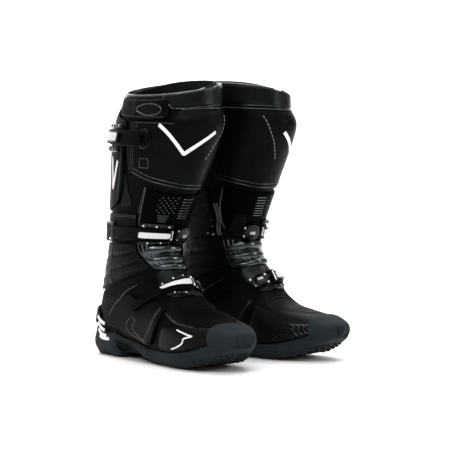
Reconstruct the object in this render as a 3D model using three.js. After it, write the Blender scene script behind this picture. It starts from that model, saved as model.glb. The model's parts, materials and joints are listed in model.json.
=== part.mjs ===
// A pair of tall off-road riding boots, standing side by side with the toes turned out.
//
// Units are millimetres and +Z is up. The toes point towards -Y, the wearer's right boot
// stands at -X and the left boot at +X. The origin is on the floor between the heels.
//
// Each boot is drawn once in its own directions: f runs forward from the heel, w runs
// sideways towards the outer side of the leg, z runs up. One smooth last surface carries
// everything: a position on it is (station, around), where station counts the sections
// from the collar rim (0) down the leg, round the ankle and along the foot to the toe (18),
// and around is in degrees: 0 front, 90 outer side, 180 back or sole, 270 inner side.

import * as THREE from "three";

// ---- overall sizes ----------------------------------------------------------------
const PATTERN_HEIGHT = 390;
const PATTERN_LENGTH = 316;
const PATTERN_HALF_WIDTH = 50;
const BOOT_HEIGHT = 390; // floor to the inner side of the collar rim
const FOOT_LENGTH = 316; // heel to toe, without the rubber
const FOOT_HALF_WIDTH = 50; // at the ball of the foot
const HEEL_SPREAD = 64; // from the middle of the pair to a heel
const HEEL_LINE = 156.3; // heels stand this far behind the middle
const TOE_OUT = 5.4; // degrees each boot is turned out

// ---- thicknesses and clearances ----------------------------------------------------
const LAYER_GAP = 0.9; // clearance between two neighbouring layers
const SKIN = 3.0; // base leather and shell
const LINER = 4.0;
const PLATE = 3.2; // moulded plates
const THIN_PLATE = 2.2;
const RAND = 3.4; // rubber wall around the foot
const STRAP = 2.4;
const LEVER = 3.6;
const CATCH = 5.0;
const FOOTBED = 5.0;
const SHANK = 1.5;
const EDGE_DROP = 1.1; // how far plate edges are rolled down
const SOLE_BLEND = 20; // height over which the sole wall runs into the foot
const TREAD_FLAT = 2.6; // rise of the rounded underside that is pressed flat
const ARCH_LIFT = 8; // instep of the sole above the floor
const TOE_SPRING = 34; // floor to underside of the toe tip
const SPRING_START = 205; // from the heel

const LINER_OUT = -(SKIN + LAYER_GAP * 1.25);
const LINER_IN = LINER_OUT - LINER;
const PLATE_IN = LAYER_GAP;
const WRAP_IN = LAYER_GAP * 1.2; // plates over strong curves stand a little further off
const SHIN_IN = LAYER_GAP * 1.5; // and those over the knee ridge further still
const PLATE_OUT = WRAP_IN + PLATE;
const THIN_OUT = PLATE_IN + THIN_PLATE;
const STRAP_IN = PLATE_OUT + LAYER_GAP;
const STRAP_OUT = STRAP_IN + STRAP;
const LEVER_IN = STRAP_OUT + LAYER_GAP;
const LEVER_OUT = LEVER_IN + LEVER;
const CATCH_IN = PLATE_OUT + LAYER_GAP * 0.8;
const SHANK_OUT = -(SKIN + LAYER_GAP);
const SHANK_IN = SHANK_OUT - SHANK;
const FOOTBED_OUT = SHANK_IN - LAYER_GAP;
const FOOTBED_IN = FOOTBED_OUT - FOOTBED;

// ---- the last: sections from collar to toe -----------------------------------------
// front and back are the (f, z) ends of a section, half its half width, lean its shift
// towards the inner side, roll the drop of its outer side; the roundness numbers are
// superellipse powers of the front half and the back half.
const SECTIONS = [
  { name: "rim", front: [217, 377], back: [61, 380], half: 51, lean: 15, roll: 10, nf: 2.3, nb: 2.3 },
  { name: "groove", front: [220, 351], back: [50, 357], half: 50, lean: 15, roll: 3, nf: 2.3, nb: 2.3 },
  { name: "knee ridge", front: [230, 328], back: [38, 335], half: 52, lean: 13, roll: 0, nf: 2.1, nb: 2.3 },
  { name: "shin", front: [213, 292], back: [34, 297], half: 53, lean: 10, roll: 0, nf: 2.1, nb: 2.3 },
  { name: "plate foot", front: [187, 245], back: [35, 248], half: 48, lean: 6, roll: 0, nf: 2.2, nb: 2.3 },
  { name: "lower shin", front: [164, 200], back: [35, 203], half: 43.5, lean: 2, roll: 0, nf: 2.2, nb: 2.3 },
  { name: "waist", front: [153, 168], back: [33, 166], half: 40, lean: 0, roll: 0, nf: 2.2, nb: 2.3 },
  { name: "bellows", front: [155, 146], back: [20, 118], half: 38.5, lean: 0, roll: 0, nf: 2.2, nb: 2.5 },
  { name: "ankle", front: [168, 131], back: [7, 75], half: 38, lean: 0, roll: 0, nf: 2.2, nb: 2.8 },
  { name: "heel", front: [179, 121], back: [1, 42], half: 38.5, lean: 0, roll: 0, nf: 2.2, nb: 3.4 },
  { name: "heel corner", front: [187, 113.5], back: [10, 12], half: 39, lean: 0, roll: 0, nf: 2.2, nb: 4.2 },
  { name: "instep", front: [192, 107], back: [62, 10], half: 40.5, lean: 1, roll: 0, nf: 2.2, nb: 5 },
  { name: "arch", front: [197, 99.5], back: [122, 15], half: 43.5, lean: 2, roll: 0, nf: 2.3, nb: 5 },
  { name: "waist of foot", front: [204, 89], back: [176, 10], half: 47.5, lean: 4, roll: 0, nf: 2.4, nb: 5 },
  { name: "ball", front: [220, 76], back: [223, 10], half: 50, lean: 4.5, roll: 0, nf: 2.5, nb: 5 },
  { name: "toe box", front: [248, 69], back: [262, 18], half: 46.5, lean: 3.5, roll: 0, nf: 2.6, nb: 5 },
  { name: "toe", front: [284, 62.5], back: [291, 29], half: 36.5, lean: 2.5, roll: 0, nf: 2.6, nb: 4 },
  { name: "toe cap", front: [307, 53], back: [309, 38], half: 25, lean: 1, roll: 0, nf: 2.6, nb: 3 },
  { name: "toe tip", front: [315, 49], back: [316, 45], half: 3, lean: 0.5, roll: 0, nf: 2.4, nb: 2.4 },
];
const LAST_STATION = SECTIONS.length - 1;

const KEYS = [
  (s) => s.front[0],
  (s) => s.front[1],
  (s) => s.back[0],
  (s) => s.back[1],
  (s) => s.half,
  (s) => s.lean,
  (s) => s.roll,
  (s) => s.nf,
  (s) => s.nb,
];

const LENGTH_GRADE = FOOT_LENGTH / PATTERN_LENGTH;
const HEIGHT_GRADE = BOOT_HEIGHT / PATTERN_HEIGHT;
const WIDTH_GRADE = FOOT_HALF_WIDTH / PATTERN_HALF_WIDTH;

// Catmull-Rom through evenly spaced values, straight beyond the ends.
function spline(values, x) {
  const last = values.length - 1;
  if (last === 0) {
    return values[0];
  }
  const i = Math.min(Math.max(Math.floor(x), 0), last - 1);
  const t = x - i;
  const p1 = values[i];
  const p2 = values[i + 1];
  const p0 = i > 0 ? values[i - 1] : 2 * p1 - p2;
  const p3 = i + 2 <= last ? values[i + 2] : 2 * p2 - p1;
  const a = 2 * p1;
  const b = (p2 - p0) * t;
  const c = (2 * p0 - 5 * p1 + 4 * p2 - p3) * t * t;
  const d = (3 * p1 - p0 - 3 * p2 + p3) * t * t * t;
  return 0.5 * (a + b + c + d);
}

const COLUMNS = KEYS.map((key) => SECTIONS.map(key));

function power(x, n) {
  return Math.sign(x) * Math.abs(x) ** (2 / n);
}

// A point of the last, in boot directions (f, w, z).
function lastPoint(station, around) {
  const [pf, pz, qf, qz, half, lean, roll, nf, nb] = COLUMNS.map((c) => spline(c, station));
  const angle = (around * Math.PI) / 180;
  const cos = Math.cos(angle);
  const n = cos > 0 ? nf : nb;
  const c = power(cos, n);
  const s = power(Math.sin(angle), n);
  const f = (pf + qf) / 2 + ((pf - qf) / 2) * c;
  const w = Math.max(half, 0.5) * s - lean;
  const z = (pz + qz) / 2 + ((pz - qz) / 2) * c - roll * s;
  return new THREE.Vector3(f * LENGTH_GRADE, w * WIDTH_GRADE, z * HEIGHT_GRADE);
}

function lastNormal(station, around) {
  const ds = 0.05;
  const da = 2;
  const s0 = Math.max(station - ds, -0.5);
  const s1 = Math.min(station + ds, LAST_STATION);
  const along = lastPoint(s1, around).sub(lastPoint(s0, around));
  const across = lastPoint(station, around + da).sub(lastPoint(station, around - da));
  return along.cross(across).normalize();
}

function onLast(station, around, lift) {
  return lastPoint(station, around).addScaledVector(lastNormal(station, around), lift);
}

// ---- closed bodies from grids --------------------------------------------------------
function grid(rows, columns, make) {
  const points = [];
  for (let i = 0; i <= rows; i += 1) {
    const line = [];
    for (let j = 0; j <= columns; j += 1) {
      line.push(make(i / rows, j / columns));
    }
    points.push(line);
  }
  return points;
}

function quad(out, a, b, c, d) {
  out.push([a, b, c], [a, c, d]);
}

// A plate with a lower and an upper face and four walls.
function plateBody(lower, upper) {
  const faces = [];
  const rows = lower.length - 1;
  const columns = lower[0].length - 1;
  for (let i = 0; i < rows; i += 1) {
    for (let j = 0; j < columns; j += 1) {
      quad(faces, upper[i][j], upper[i + 1][j], upper[i + 1][j + 1], upper[i][j + 1]);
      quad(faces, lower[i][j], lower[i][j + 1], lower[i + 1][j + 1], lower[i + 1][j]);
    }
  }
  for (let i = 0; i < rows; i += 1) {
    quad(faces, lower[i][0], lower[i + 1][0], upper[i + 1][0], upper[i][0]);
    quad(faces, lower[i + 1][columns], lower[i][columns], upper[i][columns], upper[i + 1][columns]);
  }
  for (let j = 0; j < columns; j += 1) {
    quad(faces, lower[0][j + 1], lower[0][j], upper[0][j], upper[0][j + 1]);
    quad(faces, lower[rows][j], lower[rows][j + 1], upper[rows][j + 1], upper[rows][j]);
  }
  return faces;
}

// A sleeve open at both ends: outer and inner faces closed by two rims.
function sleeveBody(inner, outer) {
  const faces = [];
  const rows = outer.length - 1;
  const columns = outer[0].length;
  for (let j = 0; j < columns; j += 1) {
    const k = (j + 1) % columns;
    for (let i = 0; i < rows; i += 1) {
      quad(faces, outer[i][j], outer[i + 1][j], outer[i + 1][k], outer[i][k]);
      quad(faces, inner[i][j], inner[i][k], inner[i + 1][k], inner[i + 1][j]);
    }
    quad(faces, outer[0][j], outer[0][k], inner[0][k], inner[0][j]);
    quad(faces, outer[rows][k], outer[rows][j], inner[rows][j], inner[rows][k]);
  }
  return faces;
}

// A sleeve closed at its far end by two caps.
function cupBody(inner, outer) {
  const faces = [];
  const rows = outer.length - 1;
  const columns = outer[0].length;
  const centre = (line) => line.reduce((sum, p) => sum.add(p), new THREE.Vector3()).divideScalar(columns);
  const outerTip = centre(outer[rows]);
  const innerTip = centre(inner[rows]);
  for (let j = 0; j < columns; j += 1) {
    const k = (j + 1) % columns;
    for (let i = 0; i < rows; i += 1) {
      quad(faces, outer[i][j], outer[i + 1][j], outer[i + 1][k], outer[i][k]);
      quad(faces, inner[i][j], inner[i][k], inner[i + 1][k], inner[i + 1][j]);
    }
    quad(faces, outer[0][j], outer[0][k], inner[0][k], inner[0][j]);
    faces.push([outer[rows][j], outerTip, outer[rows][k]]);
    faces.push([inner[rows][k], innerTip, inner[rows][j]]);
  }
  return faces;
}

function value(v, a, t) {
  return typeof v === "function" ? v(a, t) : v;
}

function along(v, x) {
  return Array.isArray(v) ? spline(v, x * (v.length - 1)) : v;
}

// A plate lying on the last. top and foot give its stations along the plate, start and end
// its sides in degrees; low and high are the heights of its two faces above the last.
function panel(p) {
  const place = (t, a, lift) => {
    const from = along(p.start, t);
    const to = along(p.end, t);
    const head = along(p.top, a);
    const station = head + (along(p.foot, a) - head) * t;
    return onLast(station, from + (to - from) * a, lift);
  };
  const rolled = (t, a) => {
    const edge = t <= 0 || t >= 1 || a <= 0 || a >= 1;
    const drop = edge ? Math.min(EDGE_DROP, (value(p.high, a, t) - value(p.low, a, t)) / 2) : 0;
    return value(p.high, a, t) - drop;
  };
  const lower = grid(p.rows, p.columns, (t, a) => place(t, a, value(p.low, a, t)));
  const upper = grid(p.rows, p.columns, (t, a) => place(t, a, rolled(t, a)));
  return plateBody(lower, upper);
}

function ring(stations, columns, lift) {
  const step = 360 / columns;
  return stations.map((s) => {
    const line = [];
    for (let j = 0; j < columns; j += 1) {
      line.push(onLast(s, j * step, value(lift, j * step, s)));
    }
    return line;
  });
}

function evenly(from, to, count) {
  return Array.from({ length: count + 1 }, (_, i) => from + ((to - from) * i) / count);
}

// ---- soles -----------------------------------------------------------------------------
// Height of the tread above the floor at a distance f from the heel.
function treadHeight(f) {
  const x = f / LENGTH_GRADE;
  const smooth = (a, b) => {
    const t = Math.min(Math.max((x - a) / (b - a), 0), 1);
    return t * t * (3 - 2 * t);
  };
  const heelBevel = 8 * (1 - smooth(-6, 16));
  const arch = ARCH_LIFT * (smooth(74, 80) - smooth(112, 122));
  const run = Math.max(x - SPRING_START, 0) / (PATTERN_LENGTH - SPRING_START);
  const spring = TOE_SPRING * run ** 2.1;
  return heelBevel + arch + spring;
}

const SOLE_STATIONS = [9.4, 9.7, 10, 10.6, 11.2, 11.32, 11.85, 12.4, 13, 14, 15, 16, 16.7, 17.3];

// Where the rubber wall ends, going up from the sole, at each station.
const RAND_EDGE = [
  { station: 9.15, around: 147 },
  { station: 9.6, around: 126 },
  { station: 10, around: 106 },
  { station: 10.5, around: 99 },
  { station: 11, around: 102 },
  { station: 11.5, around: 107 },
  { station: 12, around: 113 },
  { station: 12.5, around: 118 },
  { station: 13, around: 115 },
  { station: 14, around: 107 },
  { station: 15, around: 106 },
  { station: 16, around: 102 },
  { station: 16.6, around: 94 },
  { station: 17, around: 74 },
  { station: 17.6, around: 46 },
];

function randEdge(station) {
  const above = RAND_EDGE.findIndex((e) => e.station >= station - 1e-9);
  const k = Math.min(Math.max(above, 1), RAND_EDGE.length - 1);
  const from = RAND_EDGE[k - 1];
  const to = RAND_EDGE[k];
  const t = (station - from.station) / (to.station - from.station);
  return from.around + (to.around - from.around) * t;
}

// The outsole follows the foot shell inside; outside it runs down to the tread.
function outsoleBody() {
  const stations = [9.15, ...SOLE_STATIONS];
  const half = [0, 75, 90, 105, 120, 135, 150, 165, 180];
  const all = [...half, ...half.slice(0, -1).reverse().map((v) => 360 - v)];
  const turns = (s) => all.map((v, k) => {
    const inset = 0.4 * Math.min(k, all.length - 1 - k);
    const edge = randEdge(s) + inset;
    return Math.min(Math.max(v, edge), 360 - edge);
  });
  const outer = stations.map((s) => turns(s).map((around) => {
    const point = onLast(s, around, LAYER_GAP + RAND);
    const under = lastPoint(s, 180).z - RAND - LAYER_GAP;
    const rise = Math.max(point.z - under, 0);
    const fade = Math.max(1 - rise / SOLE_BLEND, 0);
    const target = treadHeight(point.x);
    const wall = Math.max(point.z + (target - under) * fade, target);
    point.z = rise < TREAD_FLAT ? target : wall;
    return point;
  }));
  const inner = stations.map((s) => turns(s).map((around) => onLast(s, around, LAYER_GAP * 1.1)));
  return plateBody(inner, outer);
}

// ---- buckles -----------------------------------------------------------------------------
// Each closure: a strap pinned at its anchor, a lever hinged on the far end of the strap and
// a catch beyond it, all in degrees around. The line is where the strap runs: the station of
// its middle and half its width in stations, at angles that fall along it.
const LEVER_SHARE = 0.62; // of the strap's width
const CATCH_SHARE = 1.05;
const CLOSURES = {
  top: {
    anchor: 68, free: 140, leverTip: 104, leverHinge: 139, catchFrom: 146, catchTo: 168, seat: CATCH_IN,
    line: [
      { around: 0, station: 2.62, half: 0.27 },
      { around: 180, station: 2.62, half: 0.27 },
    ],
  },
  middle: {
    anchor: 122, free: 4, leverTip: 54, leverHinge: 5, catchFrom: -2, catchTo: -28, seat: CATCH_IN,
    line: [
      { around: -60, station: 5.63, half: 0.27 },
      { around: 180, station: 5.63, half: 0.27 },
    ],
  },
  lower: {
    anchor: 80, free: -6, leverTip: 38, leverHinge: -5, catchFrom: -12, catchTo: -38, seat: PLATE_IN,
    line: [
      { around: -40, station: 10.6, half: 0.95 },
      { around: 0, station: 10.75, half: 1.0 },
      { around: 38, station: 10.6, half: 0.62 },
      { around: 60, station: 10.35, half: 0.42 },
      { around: 82, station: 10.15, half: 0.33 },
    ],
  },
};
const BAND_KEYS = 8;

// The middle station and half width of a closure at an angle, straight between its keys.
function lineAt(line, around) {
  const above = line.findIndex((k) => k.around >= around);
  const i = Math.min(Math.max(above, 1), line.length - 1);
  const from = line[i - 1];
  const to = line[i];
  const t = (around - from.around) / (to.around - from.around);
  return {
    station: from.station + (to.station - from.station) * t,
    half: from.half + (to.half - from.half) * t,
  };
}

function band(closure, from, to, share, low, high, rows, columns) {
  const keys = evenly(from, to, BAND_KEYS).map((around) => lineAt(closure.line, around));
  return panel({
    start: from,
    end: to,
    top: keys.map((k) => k.station - k.half * share),
    foot: keys.map((k) => k.station + k.half * share),
    low,
    high,
    rows,
    columns,
  });
}

// ---- sub-parts of one boot -----------------------------------------------------------------
const COLLAR_SWELL = 2.4;
const VENT_STATION = 1.05;
const VENT_AROUND = 76;
const VENT_HEIGHT = 0.86; // stations
const VENT_WIDTH = 30; // degrees
const VENT_DEPTH = 1.2;
const SHAFT_TOP = 0.95;
const SHAFT_FOOT = 6.0;
const SEAM = 0.025; // stations between the shaft and the soft ankle
const GAITER_FOOT = 7.72;
const FOOT_TOP = GAITER_FOOT + 0.04;
const RING_COLUMNS = 20;
const FOOT_COLUMNS = 24;

function liner() {
  const stations = [-0.1, SHAFT_TOP, 1.45, 1.8, 2.15, 2.6, 3.2, 4, 5, 5.9];
  return sleeveBody(ring(stations, RING_COLUMNS, LINER_IN), ring(stations, RING_COLUMNS, LINER_OUT));
}

function shaftShell() {
  const stations = [SHAFT_TOP, 1.45, 1.8, 2.15, 2.6, 3.2, 4, 5, 5.5, SHAFT_FOOT];
  return sleeveBody(ring(stations, RING_COLUMNS, -SKIN), ring(stations, RING_COLUMNS, 0));
}

function collar() {
  const stations = [0, 0.3, 0.62, SHAFT_TOP - 0.05];
  const swell = (around, s) => COLLAR_SWELL - 2.0 * Math.abs(s - 0.45);
  return sleeveBody(ring(stations, RING_COLUMNS, -SKIN + 0.6), ring(stations, RING_COLUMNS, swell));
}

function ankleGaiter() {
  const stations = [SHAFT_FOOT + SEAM, 6.4, 6.8, 7.25, GAITER_FOOT];
  const fold = (around, s) => -0.6 + 0.6 * Math.sin((s - SHAFT_FOOT) * 9);
  return sleeveBody(ring(stations, RING_COLUMNS, -SKIN), ring(stations, RING_COLUMNS, fold));
}

function footShell() {
  const stations = [FOOT_TOP, 8.6, 9.15, ...SOLE_STATIONS];
  return cupBody(ring(stations, FOOT_COLUMNS, -SKIN), ring(stations, FOOT_COLUMNS, 0));
}

function bellows() {
  const ribs = (a, t) => PLATE_IN + 1.6 + 3.2 * Math.abs(Math.sin(Math.PI * 3 * t));
  return panel({
    start: [-54, -52, -50], end: [54, 48, 38],
    top: [6.4, 6.16, 6.1, 6.16, 6.3], foot: [7.55, 7.66, 7.7, 7.7, 7.66],
    low: PLATE_IN, high: ribs, rows: 12, columns: 6,
  });
}

function shinPlate() {
  return panel({
    start: [-92, -96, -98, -92, -78], end: [98, 96, 94, 91, 88],
    top: [1.08, 1, 1, 1, 1, 1, 1, 1, 1.02, 1.86, 1.9, 1.9, 1.9],
    foot: [3.85, 4.0, 4.12, 4.13, 4.06, 3.9, 3.64],
    low: SHIN_IN, high: PLATE_OUT, rows: 12, columns: 16,
  });
}

function lowerGuard() {
  return panel({
    start: [-70, -70, -62, -48], end: [62, 61, 60, 58],
    top: [4.04, 4.22, 4.26, 4.22, 4.08], foot: [5.5, 5.86, 5.92, 5.92, 5.88],
    low: PLATE_IN, high: PLATE_OUT, rows: 6, columns: 12,
  });
}

function calfPlate() {
  return panel({
    start: [103, 101, 98, 96, 98], end: [226, 228, 226, 222, 218],
    top: [1.92, 1.8, 1.2, 1.12, 1.12, 1.15, 1.3], foot: [4.62, 4.78, 4.95, 5.0, 5.0],
    low: SHIN_IN, high: PLATE_OUT, rows: 12, columns: 8,
  });
}

function heelSpoiler() {
  return panel({
    start: [146, 146, 148], end: [214, 214, 212],
    top: [5.12, 5.16, 5.12], foot: [5.88, 5.9, 5.88],
    low: PLATE_IN, high: PLATE_OUT, rows: 4, columns: 7,
  });
}

function gripPanel() {
  return panel({
    start: [232, 233, 232, 228, 226], end: [260, 260, 262, 276, 286],
    top: 1.2, foot: [5.8, 5.8, 5.8],
    low: WRAP_IN, high: THIN_OUT, rows: 9, columns: 5,
  });
}

function sidePanel() {
  return panel({
    start: [66, 64, 63, 62], end: [139, 140, 141, 142],
    top: [4.86, 4.86, 4.88, 5.05], foot: [5.92, 5.92, 5.9, 5.86],
    low: PLATE_IN, high: THIN_OUT, rows: 5, columns: 6,
  });
}

function windowPanel() {
  return panel({
    start: [54, 52, 52, 53], end: [124, 126, 124, 118],
    top: [0.2, 0.14, 0.12, 0.14], foot: [1.74, 1.8, 1.8, 1.7],
    low: COLLAR_SWELL + LAYER_GAP, high: COLLAR_SWELL + LAYER_GAP + THIN_PLATE, rows: 6, columns: 7,
  });
}

function vent() {
  const lift = COLLAR_SWELL + 2.6 * LAYER_GAP + THIN_PLATE;
  const corners = 16;
  const disc = (height, size) => Array.from({ length: corners }, (_, k) => {
    const angle = (2 * Math.PI * k) / corners;
    const station = VENT_STATION + Math.sin(angle) * VENT_HEIGHT * 0.5 * size;
    const around = VENT_AROUND + Math.cos(angle) * VENT_WIDTH * 0.5 * size;
    return onLast(station, around, height);
  });
  return stackBody([disc(lift, 1), disc(lift + VENT_DEPTH, 0.94)]);
}

// A body made of rings of points, closed by fans at both ends.
function stackBody(rings) {
  const faces = [];
  const count = rings[0].length;
  const centre = (line) => line.reduce((sum, p) => sum.add(p), new THREE.Vector3()).divideScalar(count);
  const base = centre(rings[0]);
  const crown = centre(rings.at(-1));
  for (let j = 0; j < count; j += 1) {
    const k = (j + 1) % count;
    for (let i = 0; i + 1 < rings.length; i += 1) {
      quad(faces, rings[i][j], rings[i][k], rings[i + 1][k], rings[i + 1][j]);
    }
    faces.push([rings[0][k], rings[0][j], base]);
    faces.push([rings.at(-1)[j], rings.at(-1)[k], crown]);
  }
  return faces;
}

function toeGuard() {
  return panel({
    start: [-109, -102, -101, -96, -60], end: [109, 102, 101, 96, 60],
    top: [13.15, 13.15, 13.4, 15.5, 16.15, 16.15, 15.8, 13.4, 13.05], foot: [17.05, 17.15, 17.2, 17.15, 17.05],
    low: SHIN_IN, high: THIN_OUT, rows: 7, columns: 14,
  });
}

function heelCounter() {
  return panel({
    start: [136, 128, 120, 116], end: [224, 232, 240, 244],
    top: [8.45, 8.2, 8.12, 8.2, 8.45], foot: [9.02, 9.04, 9.06, 9.04, 9.02],
    low: WRAP_IN, high: PLATE_OUT, rows: 6, columns: 10,
  });
}

function outerAnkle() {
  return panel({
    start: [76, 66, 58, 52], end: [116, 104, 94, 102, 112],
    top: [8.8, 8.4, 8.25], foot: [12.85, 12.8, 12.72],
    low: PLATE_IN, high: PLATE_OUT, rows: 8, columns: 6,
  });
}

function innerAnkle() {
  return panel({
    start: [-116, -104, -94, -102, -112], end: [-76, -66, -58, -52],
    top: [8.25, 8.4, 8.8], foot: [12.72, 12.8, 12.85],
    low: PLATE_IN, high: PLATE_OUT, rows: 8, columns: 6,
  });
}

function insole(low, high, from, to, side, rows, columns) {
  return panel({
    start: 180 - side, end: 180 + side, top: from, foot: to, low, high, rows, columns,
  });
}

const COLOURS = {
  shell: { color: 0x1b1d1f, roughness: 0.55, metalness: 0 },
  leather: { color: 0x101112, roughness: 0.7, metalness: 0 },
  rubber: { color: 0x2c2e30, roughness: 0.85, metalness: 0 },
  gloss: { color: 0x0b0c0d, roughness: 0.25, metalness: 0 },
  lining: { color: 0x17181a, roughness: 0.95, metalness: 0 },
  metal: { color: 0xa8acb0, roughness: 0.35, metalness: 1 },
};

function closureParts(name) {
  const c = CLOSURES[name];
  const strap = band(c, c.anchor, c.free, 1, STRAP_IN, STRAP_OUT, 2, 10);
  const lever = band(c, c.leverTip, c.leverHinge, LEVER_SHARE, LEVER_IN, LEVER_OUT, 3, 6);
  const keep = band(c, c.catchFrom, c.catchTo, CATCH_SHARE, c.seat, c.seat + CATCH, 4, 5);
  return { strap, lever, keep };
}

function bootParts() {
  const parts = [
    ["outsole", outsoleBody(), "rubber"],
    ["shank", insole(SHANK_IN, SHANK_OUT, 10.9, 13.4, 12, 6, 2), "metal"],
    ["footbed", insole(FOOTBED_IN, FOOTBED_OUT, 10.85, 15.4, 26, 8, 4), "lining"],
    ["foot_shell", footShell(), "leather"],
    ["toe_guard", toeGuard(), "shell"],
    ["heel_counter", heelCounter(), "shell"],
    ["outer_ankle_shell", outerAnkle(), "shell"],
    ["inner_ankle_shell", innerAnkle(), "shell"],
    ["ankle_gaiter", ankleGaiter(), "leather"],
    ["bellows", bellows(), "gloss"],
    ["shaft_shell", shaftShell(), "leather"],
    ["liner", liner(), "lining"],
    ["collar", collar(), "leather"],
    ["window_panel", windowPanel(), "shell"],
    ["vent", vent(), "lining"],
    ["shin_plate", shinPlate(), "shell"],
    ["lower_guard", lowerGuard(), "shell"],
    ["side_panel", sidePanel(), "shell"],
    ["calf_plate", calfPlate(), "shell"],
    ["tendon_guard", heelSpoiler(), "shell"],
    ["grip_panel", gripPanel(), "rubber"],
  ];
  for (const name of Object.keys(CLOSURES)) {
    const { strap, lever, keep } = closureParts(name);
    parts.push([`${name}_strap`, strap, "shell"]);
    parts.push([`${name}_lever`, lever, "metal"]);
    parts.push([`${name}_catch`, keep, "metal"]);
  }
  return parts;
}

// ---- placing the two boots ------------------------------------------------------------------
// Six times the enclosed volume, negative when the faces point inwards.
function enclosed(faces) {
  return faces.reduce((sum, [a, b, c]) => sum + a.dot(new THREE.Vector3().crossVectors(b, c)), 0);
}

function meshOf(name, faces, material, side) {
  const turn = (TOE_OUT * Math.PI) / 180;
  const sin = Math.sin(turn);
  const cos = Math.cos(turn);
  const outward = enclosed(faces) * side > 0;
  const positions = [];
  for (const face of faces) {
    const corners = outward ? face : [face[0], face[2], face[1]];
    for (const p of corners) {
      const x = HEEL_SPREAD + p.x * sin + p.y * cos;
      const y = HEEL_LINE - p.x * cos + p.y * sin;
      positions.push(side * x, y, p.z);
    }
  }
  const geometry = new THREE.BufferGeometry();
  geometry.setAttribute("position", new THREE.Float32BufferAttribute(positions, 3));
  geometry.computeVertexNormals();
  const mesh = new THREE.Mesh(geometry, new THREE.MeshStandardMaterial(COLOURS[material]));
  mesh.name = name;
  return mesh;
}

const pair = new THREE.Group();
pair.name = "riding_boots";
const SIDES = { right: -1, left: 1 };
for (const [name, faces, material] of bootParts()) {
  for (const [side, sign] of Object.entries(SIDES)) {
    pair.add(meshOf(`${side}_${name}`, faces, material, sign));
  }
}

export default pair;
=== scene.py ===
"""Looks of a pair of tall off-road riding boots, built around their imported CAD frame.

Sizes are in millimetres in each boot's own directions (f forward from the heel, w towards
the outer side of the leg, z up) and become metres in the row frame when a mesh is made.
"""

import json
import logging
import math
from dataclasses import dataclass, field
from enum import Enum
from typing import Callable, Optional, Sequence, Union

import bpy
import numpy as np
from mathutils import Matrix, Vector

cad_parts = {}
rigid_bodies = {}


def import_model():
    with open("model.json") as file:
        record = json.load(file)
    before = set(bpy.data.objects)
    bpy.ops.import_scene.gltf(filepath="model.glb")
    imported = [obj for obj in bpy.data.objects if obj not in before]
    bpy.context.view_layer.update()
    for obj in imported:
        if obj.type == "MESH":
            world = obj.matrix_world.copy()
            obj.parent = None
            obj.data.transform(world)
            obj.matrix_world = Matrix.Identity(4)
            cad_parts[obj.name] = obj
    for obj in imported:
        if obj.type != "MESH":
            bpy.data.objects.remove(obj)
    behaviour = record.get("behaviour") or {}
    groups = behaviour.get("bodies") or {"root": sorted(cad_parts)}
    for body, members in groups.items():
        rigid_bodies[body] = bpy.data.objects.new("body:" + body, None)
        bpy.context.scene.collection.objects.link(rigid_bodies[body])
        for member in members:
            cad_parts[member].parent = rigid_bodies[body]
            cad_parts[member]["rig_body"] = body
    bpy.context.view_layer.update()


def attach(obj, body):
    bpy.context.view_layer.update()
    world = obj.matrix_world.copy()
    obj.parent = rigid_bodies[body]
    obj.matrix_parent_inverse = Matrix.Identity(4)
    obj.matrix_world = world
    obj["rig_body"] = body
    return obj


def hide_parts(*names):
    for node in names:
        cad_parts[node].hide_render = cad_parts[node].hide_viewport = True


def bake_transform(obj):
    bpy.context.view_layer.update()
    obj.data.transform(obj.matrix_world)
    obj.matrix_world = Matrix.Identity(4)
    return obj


Array = np.ndarray
Numbers = Union[float, Sequence[float]]
Relief = Callable[[Array, Array], Array]

LOG = logging.getLogger("boots")


class Side(Enum):
    """Which boot of the pair: the sign of its place along X."""

    RIGHT = -1
    LEFT = 1

    @property
    def word(self) -> str:
        """The side's name, as it starts the names of its pieces."""
        return self.name.lower()


# ---- the last ------------------------------------------------------------------------


@dataclass(frozen=True)
class Section:
    """One cross-section of the last, from its front end to its back end."""

    front: tuple[float, float]
    back: tuple[float, float]
    half: float
    lean: float = 0.0
    roll: float = 0.0
    nf: float = 2.2
    nb: float = 2.3


SECTIONS = (
    Section((217, 377), (61, 380), 51, 15, 10, 2.3, 2.3),
    Section((220, 351), (50, 357), 50, 15, 3, 2.3, 2.3),
    Section((230, 328), (38, 335), 52, 13, 0, 2.1, 2.3),
    Section((213, 292), (34, 297), 53, 10, 0, 2.1, 2.3),
    Section((187, 245), (35, 248), 48, 6, 0, 2.2, 2.3),
    Section((164, 200), (35, 203), 43.5, 2, 0, 2.2, 2.3),
    Section((153, 168), (33, 166), 40, 0, 0, 2.2, 2.3),
    Section((155, 146), (20, 118), 38.5, 0, 0, 2.2, 2.5),
    Section((168, 131), (7, 75), 38, 0, 0, 2.2, 2.8),
    Section((179, 121), (1, 42), 38.5, 0, 0, 2.2, 3.4),
    Section((187, 113.5), (10, 12), 39, 0, 0, 2.2, 4.2),
    Section((192, 107), (62, 10), 40.5, 1, 0, 2.2, 5),
    Section((197, 99.5), (122, 15), 43.5, 2, 0, 2.3, 5),
    Section((204, 89), (176, 10), 47.5, 4, 0, 2.4, 5),
    Section((220, 76), (223, 10), 50, 4.5, 0, 2.5, 5),
    Section((248, 69), (262, 18), 46.5, 3.5, 0, 2.6, 5),
    Section((284, 62.5), (291, 29), 36.5, 2.5, 0, 2.6, 4),
    Section((307, 53), (309, 38), 25, 1, 0, 2.6, 3),
    Section((315, 49), (316, 45), 3, 0.5, 0, 2.4, 2.4),
)


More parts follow.
